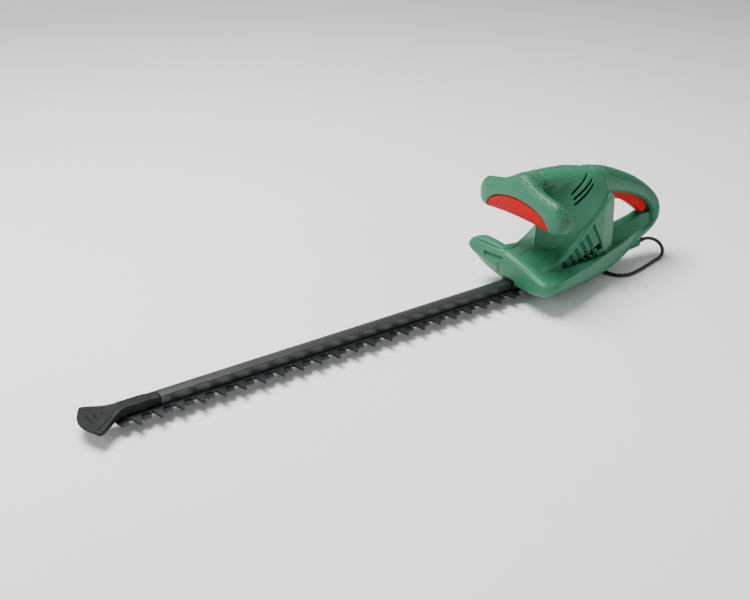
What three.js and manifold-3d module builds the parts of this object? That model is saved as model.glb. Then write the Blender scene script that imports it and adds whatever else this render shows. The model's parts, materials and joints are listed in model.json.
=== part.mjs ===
// Corded electric hedge trimmer with a single-sided 550 mm blade, in millimetres, +Z up.
//
// Working frame: X runs from the blade's tip towards the rear handle, with X = 0 at the first long
// tooth; Y = 0 is the plane of symmetry; Z = 0 is the underside of the fixed comb. The last line
// moves the whole machine so that the origin is under its middle, on the surface it stands on.
import * as THREE from 'three';
import { mergeVertices } from 'three/addons/utils/BufferGeometryUtils.js';
import Module from 'manifold-3d';

const wasm = await Module();
wasm.setup();

// ---------------------------------------------------------------- driving dimensions
const GAP = 0.3;                  // clearance between pieces that touch
const WALL = 3;                   // moulded wall thickness
const FLOOR_Z = -14;              // surface the machine stands on
const MIDDLE_X = 378.5;           // middle of the machine's length

const TOOTH_PITCH = 25;
const TOOTH_COUNT = 22;
const LONG_TIP_Y = 30;            // from the middle to the points of the comb
const SHORT_TIP_Y = 20;           // from the middle to the ends of the cutting teeth
const GULLET_Y = 12.5;            // from the middle to the edge of both blades between teeth
const BLADE_BACK_Y = 9.5;         // from the middle to their straight back
const BLADE_THICK = 2.2;
const BLADE_START_X = -12;
const COMB_END_X = 541;
const CUTTER_END_X = 571;

const RAIL_HALF = 8;
const RAIL_BOTTOM = 2.5;
const RAIL_TOP = 13.6;
const RAIL_START_X = 33.3;        // joint with the tip guard's sleeve
const RAIL_END_X = 541;
const BOLT_X = [21, 145, 270, 395, 512.5];
const BOLT_RADIUS = 2.4;

const STROKE = 8;                 // crank throw: the blade moves this far each way
const CRANK_X = 600;              // axis of the drive gear
const MOTOR_X = 645;              // axis of the motor
const GEAR_TEETH = 50;
const PINION_TEETH = 10;
const GEAR_MODULE = 2 * (MOTOR_X - CRANK_X) / (GEAR_TEETH + PINION_TEETH);
const GEAR_Z = 8;
const GEAR_THICK = 8;

const LEVER_TRAVEL = 3.5;         // the front switch bar moves this far rearwards

const CORD_RADIUS = 2.5;
const CORD_Z = FLOOR_Z + CORD_RADIUS + 0.1;

const green = { color: 0x2f7a5c, roughness: 0.45, metalness: 0 };
const darkGreen = { color: 0x2a6e53, roughness: 0.7, metalness: 0 };
const red = { color: 0xc8141c, roughness: 0.35, metalness: 0 };
const black = { color: 0x1d1f20, roughness: 0.5, metalness: 0 };
const rubber = { color: 0x161616, roughness: 0.7, metalness: 0 };
const bladeSteel = { color: 0x55585b, roughness: 0.35, metalness: 0.9 };
const steel = { color: 0x9a9da0, roughness: 0.3, metalness: 1 };
const copper = { color: 0xb0622e, roughness: 0.4, metalness: 1 };
const zinc = { color: 0xa8abad, roughness: 0.5, metalness: 0.9 };
const carbon = { color: 0x2c2c2e, roughness: 0.8, metalness: 0.1 };
const cream = { color: 0xc9b98a, roughness: 0.6, metalness: 0 };

// ---------------------------------------------------------------- solids and booleans
// A closed three.js geometry as a Manifold solid.
function solid(geometry) {
  const bare = geometry.clone();
  bare.deleteAttribute('normal');
  bare.deleteAttribute('uv');
  const merged = mergeVertices(bare, 1e-4);
  const index = merged.index ? merged.index.array : [...Array(merged.attributes.position.count).keys()];
  const mesh = new wasm.Mesh({
    numProp: 3,
    vertProperties: new Float32Array(merged.attributes.position.array),
    triVerts: new Uint32Array(index),
  });
  return new wasm.Manifold(mesh);
}

// A Manifold solid as a three.js geometry.
function geometryOf(manifold) {
  const mesh = manifold.getMesh();
  const geometry = new THREE.BufferGeometry();
  geometry.setAttribute('position', new THREE.BufferAttribute(new Float32Array(mesh.vertProperties), 3));
  geometry.setIndex(new THREE.BufferAttribute(new Uint32Array(mesh.triVerts), 1));
  geometry.computeVertexNormals();
  return geometry;
}

const unite = (solids) => solids.reduce((whole, piece) => whole.add(piece));
const cutAll = (body, tools) => tools.reduce((rest, tool) => rest.subtract(tool), body);

function box(x0, x1, y0, y1, z0, z1) {
  const geometry = new THREE.BoxGeometry(x1 - x0, y1 - y0, z1 - z0);
  geometry.translate((x0 + x1) / 2, (y0 + y1) / 2, (z0 + z1) / 2);
  return solid(geometry);
}

// Round bar along Z from z0 to z1; two radii make a cone.
function post(x, y, z0, z1, radius, segments = 24, topRadius = radius) {
  const geometry = new THREE.CylinderGeometry(topRadius, radius, z1 - z0, segments);
  geometry.rotateX(Math.PI / 2);
  geometry.translate(x, y, (z0 + z1) / 2);
  return solid(geometry);
}

// Round bar along Y from y0 to y1.
function pin(x, z, y0, y1, radius, segments = 16) {
  const geometry = new THREE.CylinderGeometry(radius, radius, y1 - y0, segments);
  geometry.translate(x, (y0 + y1) / 2, z);
  return solid(geometry);
}

// Ring with a square section about a Z axis, turned on a lathe.
function ring(x, y, z0, z1, inner, outer, segments = 32) {
  const profile = [[inner, z0], [outer, z0], [outer, z1], [inner, z1], [inner, z0]];
  const geometry = new THREE.LatheGeometry(profile.map(([r, z]) => new THREE.Vector2(r, z)), segments);
  geometry.rotateX(Math.PI / 2);
  geometry.translate(x, y, 0);
  return solid(geometry);
}

// Outlines drawn in one plane and pushed out along the third axis.
const PLANES = {
  xy: [[1, 0, 0], [0, 1, 0], [0, 0, 1]],
  xz: [[1, 0, 0], [0, 0, 1], [0, -1, 0]],
  yz: [[0, 1, 0], [0, 0, 1], [1, 0, 0]],
};

function slab(plane, points, from, to, options = {}) {
  const shape = new THREE.Shape(points.map(([a, b]) => new THREE.Vector2(a, b)));
  for (const hole of options.holes ?? []) {
    shape.holes.push(new THREE.Path(hole.map(([a, b]) => new THREE.Vector2(a, b))));
  }
  const bevel = options.bevel ?? 0;
  const geometry = new THREE.ExtrudeGeometry(shape, {
    depth: to - from - 2 * bevel,
    bevelEnabled: bevel > 0,
    bevelThickness: bevel,
    bevelSize: bevel,
    bevelOffset: -bevel,
    bevelSegments: options.bevelSegments ?? 2,
    curveSegments: 12,
  });
  geometry.translate(0, 0, bevel);
  const [a, b, c] = PLANES[plane].map((axis) => new THREE.Vector3(...axis));
  geometry.applyMatrix4(new THREE.Matrix4().makeBasis(a, b, c));
  const start = plane === 'xz' ? -to : from;
  geometry.translate(c.x * start, c.y * start, c.z * start);
  return solid(geometry);
}

// Skin through a row of rings with equal point counts, closed by a fan at each end.
function loft(rings) {
  const count = rings[0].length;
  const positions = [];
  const index = [];
  const middle = (points) => points
    .reduce((sum, p) => sum.map((value, k) => value + p[k] / points.length), [0, 0, 0]);
  rings.forEach((points) => points.forEach((p) => positions.push(...p)));
  positions.push(...middle(rings[0]), ...middle(rings[rings.length - 1]));
  const first = rings.length * count;
  for (let i = 0; i < count; i += 1) {
    const j = (i + 1) % count;
    for (let k = 0; k + 1 < rings.length; k += 1) {
      const low = k * count;
      const high = low + count;
      index.push(low + i, low + j, high + j, low + i, high + j, high + i);
    }
    const last = (rings.length - 1) * count;
    index.push(first, j, i, first + 1, last + i, last + j);
  }
  const geometry = new THREE.BufferGeometry();
  geometry.setAttribute('position', new THREE.BufferAttribute(new Float32Array(positions), 3));
  geometry.setIndex(index);
  return solid(geometry);
}

// Ring in a plane of constant X, from half an outline given as (y, z) from bottom to top.
function mirroredRing(x, half) {
  const right = half.map(([y, z]) => [x, y, z]);
  const left = half.filter(([y]) => y > 0).map(([y, z]) => [x, -y, z]).reverse();
  return [...right, ...left];
}

const group = new THREE.Group();
group.position.set(-MIDDLE_X, 0, -FLOOR_Z);

function add(name, finish, manifold) {
  const mesh = new THREE.Mesh(geometryOf(manifold), new THREE.MeshStandardMaterial(finish));
  mesh.name = name;
  group.add(mesh);
}

// ---------------------------------------------------------------- front handle outline
// Crossbar stations from the middle to one end: y, front x, back x, low z, top z.
const CROSSBAR = [
  [0, 541, 579, 98, 160], [16, 541, 579, 98, 153.5], [34, 541.5, 578, 97.5, 145.5],
  [55, 542, 577, 96, 140.5], [68, 543.5, 575, 96.5, 137], [76, 547, 570, 100, 130],
  [81.5, 553, 562, 110, 119],
];
// Section of the bar from its back round underneath to its front and over its top: (u, v) where
// u runs from the front (0) to the back (1) and v from the bottom (0) to the top (1).
const CROSSBAR_SECTION = [
  [1, 0.36], [0.97, 0.2], [0.88, 0.07], [0.7, 0.01], [0.48, 0], [0.26, 0.02], [0.1, 0.1], [0.02, 0.26],
  [0, 0.5], [0.01, 0.7], [0.07, 0.86], [0.18, 0.96], [0.33, 1], [0.5, 0.97], [0.67, 0.88],
  [0.82, 0.73], [0.94, 0.55],
];

function crossbar(inset = 0) {
  const stations = [...CROSSBAR.slice(1).reverse().map(([y, ...rest]) => [-y, ...rest]), ...CROSSBAR];
  return loft(stations.map(([y, front, back, low, top]) => {
    const end = Math.sign(y) * (Math.abs(y) > 60 ? inset : 0);
    const depth = Math.max(back - front - 2 * inset, 1);
    const height = Math.max(top - low - 2 * inset, 1);
    return CROSSBAR_SECTION.map(([u, v]) => [
      (front + back) / 2 + (u - 0.5) * depth, y - end, (low + top) / 2 + (v - 0.5) * height,
    ]);
  }));
}

// Arched window in the crossbar's lower front that the switch bar fills.
function leverWindow(margin, back) {
  const arch = [[57, 108], [46, 117], [27, 124], [0, 127.5], [-27, 124], [-46, 117], [-57, 108]];
  const outline = arch.map(([y, z]) => [y + Math.sign(y) * margin, z + margin]);
  outline.push([-57 - margin, 80], [57 + margin, 80]);
  return slab('yz', outline.reverse(), 520, back);
}

// ---------------------------------------------------------------- housing
// Lower hull stations from front to back: x, then half of the outline as (y, z), bottom to rim.
const HULL = [
  [548.5, [[0, 5], [24, 5], [40, 7], [56, 11], [70, 17], [76, 23], [74, 29], [67, 32], [0, 32]]],
  [562, [[0, -4], [22, -4], [40, 1], [55, 7], [68, 14], [74, 21], [72, 28], [66, 31], [0, 32]]],
  [582, [[0, -14], [20, -14], [38, -6], [52, 3], [63, 11], [68, 17], [67, 27], [62, 31], [0, 32]]],
  [610, [[0, -14], [21, -14], [38, -6], [49, 2], [57, 9], [61, 15], [60, 27], [56, 31], [0, 32]]],
  [640, [[0, -14], [21, -14], [36, -6], [44, 1], [50, 7], [54, 13], [53, 27], [49, 32], [0, 33]]],
  [672, [[0, -14], [19, -14], [30, -7], [37, -1], [42, 5], [45, 11], [44, 28], [40, 33], [0, 34]]],
  [698, [[0, -7], [15, -7], [25, -4], [31, 1], [35, 6], [38, 12], [37, 29], [34, 35], [0, 36]]],
  [722, [[0, -3], [13, -3], [20, 0], [25, 4], [28, 8], [30, 13], [30, 30], [27, 36], [0, 37]]],
  [750, [[0, 3], [8, 3], [13, 5], [17, 9], [19, 12], [20, 17], [20, 29], [18, 34], [0, 36]]],
];
const hull = () => loft(HULL.map(([x, half]) => mirroredRing(x, half)));

// Motor casing stations, from the upright edge of its prow to the rear: x, half-width, z of the crease
// under the crown, top z.
const CASING = [
  [583, 3.5, 138, 148], [590, 10.5, 146, 152], [600, 19, 147, 154.5], [612, 28, 147, 155.5],
  [625, 34.5, 145.5, 155], [640, 38, 143, 152.5], [655, 38, 139, 149.5], [668, 37, 134, 146],
  [680, 33, 130, 142], [688, 26, 125, 137], [694, 17, 117, 127],
];

function casing(inset = 0, low = 10) {
  const last = CASING.length - 1;
  return loft(CASING.map(([x, half, crease, top], i) => {
    const push = i === 0 ? inset : i === last ? -inset : 0;
    const h = half - inset;
    const z1 = top - inset;
    const z0 = crease - inset;
    return mirroredRing(x + push, [
      [0, low], [h, low], [h, 70], [h * 0.98, 96], [h * 0.87, (96 + z0) / 2], [h * 0.66, z0],
      [h * 0.34, z1 - 1.6], [0, z1],
    ]);
  }));
}

// Neck stations: x, half-width, bottom z, z of the crease along its flank, top z.
const NECK = [
  [566, 17.5, 137, 150.5, 160], [586, 19.5, 136, 149.5, 158.5], [604, 22, 131, 148, 157.3],
  [626, 23, 122, 145, 155],
];
const neck = () => loft(NECK.map(([x, half, low, crease, top]) => mirroredRing(x, [
  [0, low], [half * 0.8, low + 5], [half, crease], [half * 0.82, crease + (top - crease) * 0.42],
  [half * 0.45, top - 1.4], [0, top],
])));

// Rear handle loop: outer and inner point (x, z) of each oval section, from the top to the foot.
const LOOP = [
  [672, 148, 676, 106], [702, 141, 698, 104], [728, 131, 719, 100], [754, 119, 742, 94],
  [778, 104, 763, 85], [795, 91, 778, 76], [805, 81, 787, 67], [811, 71, 792, 60], [814, 60, 793, 52],
  [811, 48, 790, 45], [801, 36, 781, 40], [785, 24, 766, 38], [768, 14, 750, 37], [750, 6, 734, 37],
  [728, 0, 718, 40], [706, -3, 704, 48], [688, -3, 684, 54],
];
const LOOP_HALF = 18;

function loopHandle(count = 16) {
  const power = 2 / 2.5;
  return loft(LOOP.map(([xo, zo, xi, zi]) => Array.from({ length: count }, (_, i) => {
    const c = Math.cos(2 * Math.PI * i / count);
    const s = Math.sin(2 * Math.PI * i / count);
    const radial = Math.sign(c) * Math.abs(c) ** power / 2;
    const side = Math.sign(s) * Math.abs(s) ** power;
    return [
      (xo + xi) / 2 + (xo - xi) * radial,
      -LOOP_HALF * side,
      (zo + zi) / 2 + (zo - zi) * radial,
    ];
  })));
}

// Raised ribs round the recessed vent panel on each side.
function ventFrame() {
  const outer = [
    [562, 18], [558, 30], [590, 48], [611, 62], [633, 78], [655, 99], [668, 103], [686, 84], [696, 60],
    [700, 34], [700, 18],
  ];
  const inner = [[572, 28], [590, 37], [611, 51], [633, 68], [651, 86], [664, 66], [682, 34], [640, 27]];
  return slab('xz', outer, -41, 41, { holes: [inner.reverse()], bevel: 3, bevelSegments: 1 });
}

// Gear case roof between the hand guard and the motor casing: x, half-width, z.
const ROOF = [[548.5, 42, 42], [572, 42, 46], [600, 41, 50], [626, 40, 57]];
const gearRoof = () => loft(ROOF.map(([x, half, top]) => mirroredRing(x, [
  [0, 12], [half, 12], [half, 28], [half - 10, top - 5], [half - 22, top], [0, top],
])));

// Vent openings: foot (x, z) and head (x, z) of each slot.
const LOUVRES = [
  [607, 27, 592, 41], [620, 28, 601, 48], [633, 29, 611, 56], [646, 30, 622, 64], [657, 32, 631, 71],
  [668, 36, 641, 77],
];
const UPPER_SLITS = [[607, 129, 631, 149], [611, 123, 640, 143], [614, 115, 646, 136]];

function slot([x0, z0, x1, z1], width, y0, y1) {
  const length = Math.hypot(x1 - x0, z1 - z0);
  const nx = -(z1 - z0) / length * width / 2;
  const nz = (x1 - x0) / length * width / 2;
  const outline = [[x0 - nx, z0 - nz], [x1 - nx, z1 - nz], [x1 + nx, z1 + nz], [x0 + nx, z0 + nz]];
  return slab('xz', outline.reverse(), y0, y1);
}

// Clamping screws across the two halves, driven from the left: x, z, and the y of each head.
const HOUSING_SCREWS = [[558, 27, 22], [684, 116, 14], [718, 30, 12], [803, 52, 10], [606, 135, 14]];
const SCREW_RADIUS = 2;
const SCREW_HEAD = 3.8;
const SCREW_END_Y = -10;

const COVER = { x0: 596, x1: 664, half: 15, thick: 2.5 };

// Mains lead exit: a round boss under the rear of the handle.
const EXIT = { x0: 734, x1: 786, z: 9.5, radius: 9.5, bore: 6.2 };

// Round bar along X.
function bar(x0, x1, y, z, radius, segments = 16, endRadius = radius) {
  const geometry = new THREE.CylinderGeometry(endRadius, radius, x1 - x0, segments);
  geometry.rotateZ(-Math.PI / 2);
  geometry.translate((x0 + x1) / 2, y, z);
  return solid(geometry);
}

// Room inside the housing for the yoke, the gears, the gear shaft and the motor.
function chamber() {
  const wide = [[554, 62], [566, 62], [610, 53], [640, 46], [668, 37]];
  const middle = [[556, 43], [640, 43], [668, 34]];
  const plan = (half) => [...half.map(([x, y]) => [x, -y]), ...half.slice().reverse()];
  return unite([
    box(566, 672, -18, 18, -11, -5), box(552, 640, -25, 25, -6, 6),
    slab('xy', plan(middle), 5, 14), slab('xy', plan(wide), 13, 30),
    slab('xz', [[552, 20], [626, 20], [626, 52], [600, 46], [572, 42], [552, 38.5]], -26, 26),
    casing(WALL, -4),
  ]);
}

function housing() {
  const exitBoss = bar(EXIT.x0, EXIT.x1, 0, EXIT.z, EXIT.radius, 20);
  const outer = unite([hull(), casing(), neck(), loopHandle(), ventFrame(), gearRoof(), exitBoss]);
  const switchTunnel = slab('xz', [
    [680, 132], [680, 108], [706, 106], [726, 104], [752, 97], [776, 86], [790, 72], [799, 68],
    [799, 76], [785, 88], [762, 104], [744, 114], [724, 124],
  ], -9, 9);
  const triggerSlot = slab('xz', [
    [696, 90], [696, 109.5], [752, 103], [776, 92], [797, 77], [797, 50], [770, 50], [736, 80],
  ], -8.6, 8.6);
  const leadTunnel = slab('xz', [[680, 20], [680, 6], [752, 6], [752, 13], [740, 20]], -6, 6);
  const leadBore = bar(740, 800, 0, EXIT.z, EXIT.bore);
  const bladeDoor = box(540, 570, -32, 32, -5, 18);
  const coverHole = box(COVER.x0 - GAP, COVER.x1 + GAP, -COVER.half - GAP, COVER.half + GAP, -15, -10);
  const louvres = LOUVRES.flatMap((line) => [slot(line, 5, -60, -25), slot(line, 5, 25, 60)]);
  const slits = UPPER_SLITS.flatMap((line) => [slot(line, 2.4, -60, -16), slot(line, 2.4, 16, 60)]);
  const bosses = unite(HOUSING_SCREWS.map(([x, z]) => pin(x, z, -90, 90, 6.5, 12))).intersect(outer);
  const screwHoles = HOUSING_SCREWS.flatMap(([x, z, head]) => [
    pin(x, z, SCREW_END_Y - 1, 90, SCREW_RADIUS + GAP, 10),
    pin(x, z, head - 3.2, 90, SCREW_HEAD + GAP, 12),
  ]);
  return cutAll(outer.subtract(chamber()).add(bosses), [
    switchTunnel, triggerSlot, leadTunnel, leadBore, bladeDoor, coverHole,
    ...louvres, ...slits, ...screwHoles, crossbar(-0.4),
  ]);
}

const shell = housing();
add('housing_left', green, shell.intersect(box(400, 900, 0.15, 200, -50, 300)));
add('housing_right', green, shell.intersect(box(400, 900, -200, -0.15, -50, 300)));
HOUSING_SCREWS.forEach(([x, z, head], i) => {
  const shank = pin(x, z, SCREW_END_Y, head - 1, SCREW_RADIUS, 10);
  add(`housing_screw_${i + 1}`, steel, shank.add(pin(x, z, head - 2.6, head, SCREW_HEAD, 12)));
});
add('base_cover', green, box(COVER.x0, COVER.x1, -COVER.half, COVER.half, FLOOR_Z, FLOOR_Z + COVER.thick));

// ---------------------------------------------------------------- hand guard
// Guard stations from the right end to the left one, which stands higher: y, front x, back x, bottom z,
// chin z, crease z, top z.
const GUARD = [
  [-77, 540, 546, 22, 25, 27, 29], [-73, 534, 548, 18, 21, 27, 31], [-66, 532, 548, 14.5, 18, 30, 34],
  [-54, 531, 548, 11, 16, 35, 38.5], [-40, 531, 548, 7.5, 14.5, 39.5, 42.5],
  [-24, 531, 548, 5.5, 13.5, 43.5, 47], [-8, 531, 548, 5, 14, 46.5, 51], [8, 531, 548, 5, 17, 48, 54],
  [22, 531, 548, 5.5, 23, 48.5, 56.5], [38, 530.5, 548, 7.5, 28, 47.5, 57.5],
  [52, 530, 548, 11, 30.5, 46.5, 57.5], [62, 529.5, 548, 14.5, 32.5, 46, 56],
  [71, 529.5, 547, 21, 35, 45.5, 52.5], [77, 531, 544, 30, 38, 44, 48], [79.5, 534, 540, 37, 40, 42.5, 44],
];

function handGuard() {
  const wall = loft(GUARD.map(([y, front, back, low, chin, crease, top]) => {
    const points = [
      [back - 1, low], [front + 5, low + (chin - low) * 0.4], [front + 1, chin], [front, crease],
      [front + 2, (crease + top) / 2], [front + 5, top], [back - 0.5, top - 2], [back, (low + top) / 2],
    ];
    return points.map(([x, z]) => [x, y, z]);
  }));
  return wall.subtract(box(520, 560, -15, 15, -10, 18.5));
}
add('hand_guard', green, handGuard());

// ---------------------------------------------------------------- front handle and switch bar
const HANDLE_SPLIT_X = 562;
const LEVER_BACK_X = 559.5;

function frontHandle() {
  const skin = crossbar().subtract(crossbar(WALL));
  const window = leverWindow(0.5, LEVER_BACK_X + LEVER_TRAVEL + 0.6);
  return skin.subtract(window);
}
const handle = frontHandle();
add('front_handle_shell', green, handle.intersect(box(500, HANDLE_SPLIT_X - 0.15, -90, 90, 80, 170)));
add('front_handle_grip', darkGreen, handle.intersect(box(HANDLE_SPLIT_X + 0.15, 600, -90, 90, 80, 170)));

function switchBar() {
  const face = crossbar().subtract(crossbar(4)).intersect(leverWindow(0, LEVER_BACK_X));
  const pusher = box(544, LEVER_BACK_X + 1, -3, 3, 106, 122);
  return face.add(pusher);
}
add('front_switch_bar', red, switchBar());
add('front_switch', black, box(564.5, 572.5, -8, 8, 107, 122));

// ---------------------------------------------------------------- rear trigger
const TRIGGER_PIVOT = [702, 103.5];
const TRIGGER_OUTLINE = [
  [698, 101], [706, 95.5], [728, 89.5], [746, 81], [761, 71], [773, 62.5], [780, 58.5], [786, 60],
  [788, 65], [783, 76], [766, 89], [744, 98], [720, 104], [706, 107], [699, 106],
];
const triggerHole = pin(...TRIGGER_PIVOT, -20, 20, 2.3, 14);
add('rear_trigger', red, slab('xz', TRIGGER_OUTLINE, -8, 8, { bevel: 1 }).subtract(triggerHole));
add('trigger_pin', steel, pin(...TRIGGER_PIVOT, -8.3, 8.3, 2, 14));
add('rear_switch', black, box(715, 735, -6.5, 6.5, 108.5, 115.5));
add('capacitor', cream, box(688, 705, -6, 6, 111, 126));

// ---------------------------------------------------------------- blades
// Outline of a blade with teeth on its right side (-Y) only, from tip to tail, and a straight
// back on the left.
function bladeOutline(edge) {
  const first = edge[0][0];
  const last = edge[edge.length - 1][0];
  return [...edge.map(([x, y]) => [x, -y]), [last, BLADE_BACK_Y], [first, BLADE_BACK_Y]];
}

function combEdge() {
  const edge = [[BLADE_START_X, GULLET_Y - 3]];
  for (let i = 0; i < TOOTH_COUNT; i += 1) {
    const x = i * TOOTH_PITCH;
    edge.push([x - 5.5, GULLET_Y], [x - 3.6, 20], [x - 0.9, LONG_TIP_Y], [x + 0.9, LONG_TIP_Y]);
    edge.push([x + 7.5, GULLET_Y]);
  }
  edge.push([COMB_END_X, GULLET_Y]);
  return edge;
}

function cutterEdge() {
  const edge = [[-20, GULLET_Y - 3]];
  for (let i = 0; i <= TOOTH_COUNT; i += 1) {
    const x = (i - 0.5) * TOOTH_PITCH;
    edge.push([x - 6.5, GULLET_Y], [x - 4, SHORT_TIP_Y], [x + 3.5, SHORT_TIP_Y], [x + 6, GULLET_Y]);
  }
  edge.push([548, 10.5], [CUTTER_END_X, 10.5]);
  return edge;
}

const boltHoles = BOLT_X.map((x) => post(x, 0, -10, 12.2, BOLT_RADIUS + GAP, 12));
const boltSlots = BOLT_X.map((x) => {
  const reach = STROKE + BOLT_RADIUS + 0.5;
  return box(x - reach, x + reach, -BOLT_RADIUS - 0.5, BOLT_RADIUS + 0.5, -5, 0);
});
const comb = slab('xy', bladeOutline(combEdge()), 0, BLADE_THICK);
add('fixed_comb', bladeSteel, cutAll(comb, boltHoles));
const cutter = slab('xy', bladeOutline(cutterEdge()), -GAP - BLADE_THICK, -GAP);
const rivetX = [558, 566.5];
const rivetHoles = rivetX.map((x) => post(x, 0, -10, 10, 2 + GAP, 10));
add('moving_blade', bladeSteel, cutAll(cutter, [...boltSlots, ...rivetHoles]));

// Scotch yoke on the moving blade's tail. Its window is as wide as the roller's path and the
// blade's stroke together, so that the two can be posed one without the other.
const ROLLER_RADIUS = 6;
const yokeHalfX = 2 * STROKE + ROLLER_RADIUS + 0.5;
const yokeHalfY = STROKE + ROLLER_RADIUS + 0.5;
function driveYoke() {
  const x0 = CRANK_X - yokeHalfX;
  const x1 = CRANK_X + yokeHalfX;
  const frame = box(x0 - 5, x1 + 5, -yokeHalfY - 5, yokeHalfY + 5, -GAP - BLADE_THICK, 4.5);
  const tongue = box(550, x0 - 4, -8, 8, 0, 3);
  const recess = box(500, CUTTER_END_X + GAP, -30, 30, -10, 0);
  return cutAll(frame.add(tongue), [box(x0, x1, -yokeHalfY, yokeHalfY, -10, 10), recess, ...rivetHoles]);
}
add('drive_yoke', steel, driveYoke());
rivetX.forEach((x, i) => {
  const rivet = unite([post(x, 0, -2.6, 3.4, 2, 10), post(x, 0, 3.3, 4.3, 3.4, 10)]);
  add(`yoke_rivet_${i + 1}`, steel, rivet);
});

// ---------------------------------------------------------------- guide rail and its fixings
const RAIL_SECTION = [
  [-RAIL_HALF, RAIL_BOTTOM], [RAIL_HALF, RAIL_BOTTOM], [RAIL_HALF, 12], [7.3, 12.7], [3.5, 13.2],
  [0, RAIL_TOP], [-3.5, 13.2], [-7.3, 12.7], [-RAIL_HALF, 12],
];
function guideRail() {
  const body = slab('yz', RAIL_SECTION, RAIL_START_X, RAIL_END_X);
  const tongue = box(12, RAIL_START_X + 1, -4, 4, 4, 10);
  const channel = box(RAIL_START_X + 6, RAIL_END_X - 6, -4.6, 4.6, 0, 6);
  return cutAll(body.add(tongue), [channel, ...boltHoles]);
}
add('guide_rail', black, guideRail());

BOLT_X.forEach((x, i) => {
  const bolt = unite([
    post(x, 0, -4.6, 11.8, BOLT_RADIUS, 12), post(x, 0, -5.2, -2.8, 5, 6),
  ]);
  add(`blade_bolt_${i + 1}`, steel, bolt);
});

function railBracket() {
  const section = [[-11, 4], [-11, 13], [-8.5, 16], [8.5, 16], [11, 13], [11, 4]].reverse();
  const saddle = slab('yz', section, 536, 558);
  return saddle.subtract(box(530, 580, -RAIL_HALF - GAP, RAIL_HALF + GAP, 0, RAIL_TOP + GAP));
}
add('rail_bracket', black, railBracket());

// ---------------------------------------------------------------- tip guard
function tipGuard() {
  const sleeve = slab('yz', RAIL_SECTION, -10, 33);
  const edge = [[20, 7], [-6, 8], [-14, 10], [-24, 16], [-34, 24.5], [-42, 31], [-46, 30.5], [-50, 23],
    [-55, 12]];
  const outline = [...edge.map(([x, y]) => [x, -y]), [-57, 0], ...edge.slice().reverse()];
  const profile = [[20, 2.5], [20, 13], [-8, 13.4], [-14, 12.6], [-26, 9.8], [-42, 7.4], [-58, 6.4],
    [-58, 3.4], [-40, 2.8], [-10, 2.5]];
  const fan = slab('xy', outline.reverse(), 0, 20).intersect(slab('xz', profile.reverse(), -40, 40));
  const pocket = box(11.5, 34, -4.3, 4.3, 3.7, 10.3);
  return cutAll(sleeve.add(fan), [pocket, ...boltHoles]);
}
add('tip_guard', black, tipGuard());

// ---------------------------------------------------------------- gear drive
function gearOutline(cx, teeth, turned) {
  const pitch = GEAR_MODULE * teeth / 2;
  const root = pitch - 1.15 * GEAR_MODULE;
  const crown = pitch + 0.8 * GEAR_MODULE;
  const step = 2 * Math.PI / teeth;
  const at = (radius, angle) => [cx + radius * Math.cos(angle), radius * Math.sin(angle)];
  return Array.from({ length: teeth }, (_, i) => {
    const a = (i + turned) * step;
    return [at(root, a - 0.3 * step), at(crown, a - 0.1 * step), at(crown, a + 0.1 * step),
      at(root, a + 0.3 * step)];
  }).flat();
}

const gearShaft = post(CRANK_X, 0, GEAR_Z - 3, 30, 5, 20);
const crankX = CRANK_X + STROKE;
const crankPin = post(crankX, 0, -2.4, GEAR_Z + 3, 3.5, 16);
const gearBlank = slab('xy', gearOutline(CRANK_X, GEAR_TEETH, 0), GEAR_Z, GEAR_Z + GEAR_THICK);
add('drive_gear', steel, cutAll(gearBlank, [
  post(CRANK_X, 0, 0, 40, 5 + GAP, 20), post(crankX, 0, -5, GEAR_Z + 3 + GAP, 3.5 + GAP, 16),
]));
add('gear_shaft', steel, gearShaft.subtract(post(crankX, 0, -5, GEAR_Z + 3 + GAP, 3.5 + GAP, 16)));
add('crank_pin', steel, crankPin);
add('crank_roller', steel, ring(crankX, 0, -2.4, 4.4, 3.5 + GAP, ROLLER_RADIUS, 20));

const GEAR_CASE = { z0: 18, z1: 24 };
function gearCase() {
  const plan = [[568, -58], [608, -51.5], [640, -44], [667, -35.5], [667, 35.5], [640, 44], [608, 51.5],
    [568, 58]];
  const plate = slab('xy', plan, GEAR_CASE.z0, GEAR_CASE.z1);
  return cutAll(plate, [post(CRANK_X, 0, 0, 40, 11 + GAP, 24), post(MOTOR_X, 0, 0, 40, 9.5 + GAP, 24)]);
}
add('gear_case', zinc, gearCase());
add('gear_bearing', steel, ring(CRANK_X, 0, GEAR_CASE.z0, GEAR_CASE.z1, 5 + GAP, 11, 24));

// ---------------------------------------------------------------- motor
const SHAFT_RADIUS = 4;
add('motor_shaft', steel, post(MOTOR_X, 0, 6, 127, SHAFT_RADIUS, 20));
function aboutShaft(z0, z1, radius, segments = 32) {
  return ring(MOTOR_X, 0, z0, z1, SHAFT_RADIUS + GAP, radius, segments);
}
const meshTurn = 0.5;
const pinionOutline = gearOutline(MOTOR_X, PINION_TEETH, meshTurn);
const pinionBlank = slab('xy', pinionOutline, GEAR_Z - 0.5, GEAR_Z + GEAR_THICK + 0.5);
add('pinion', steel, pinionBlank.subtract(post(MOTOR_X, 0, 0, 40, SHAFT_RADIUS + GAP, 20)));
add('lower_bearing', steel, ring(MOTOR_X, 0, GEAR_CASE.z0, GEAR_CASE.z1, SHAFT_RADIUS + GAP, 9.5, 24));
add('upper_bearing', steel, ring(MOTOR_X, 0, 118, 125, SHAFT_RADIUS + GAP, 8, 24));

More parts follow.
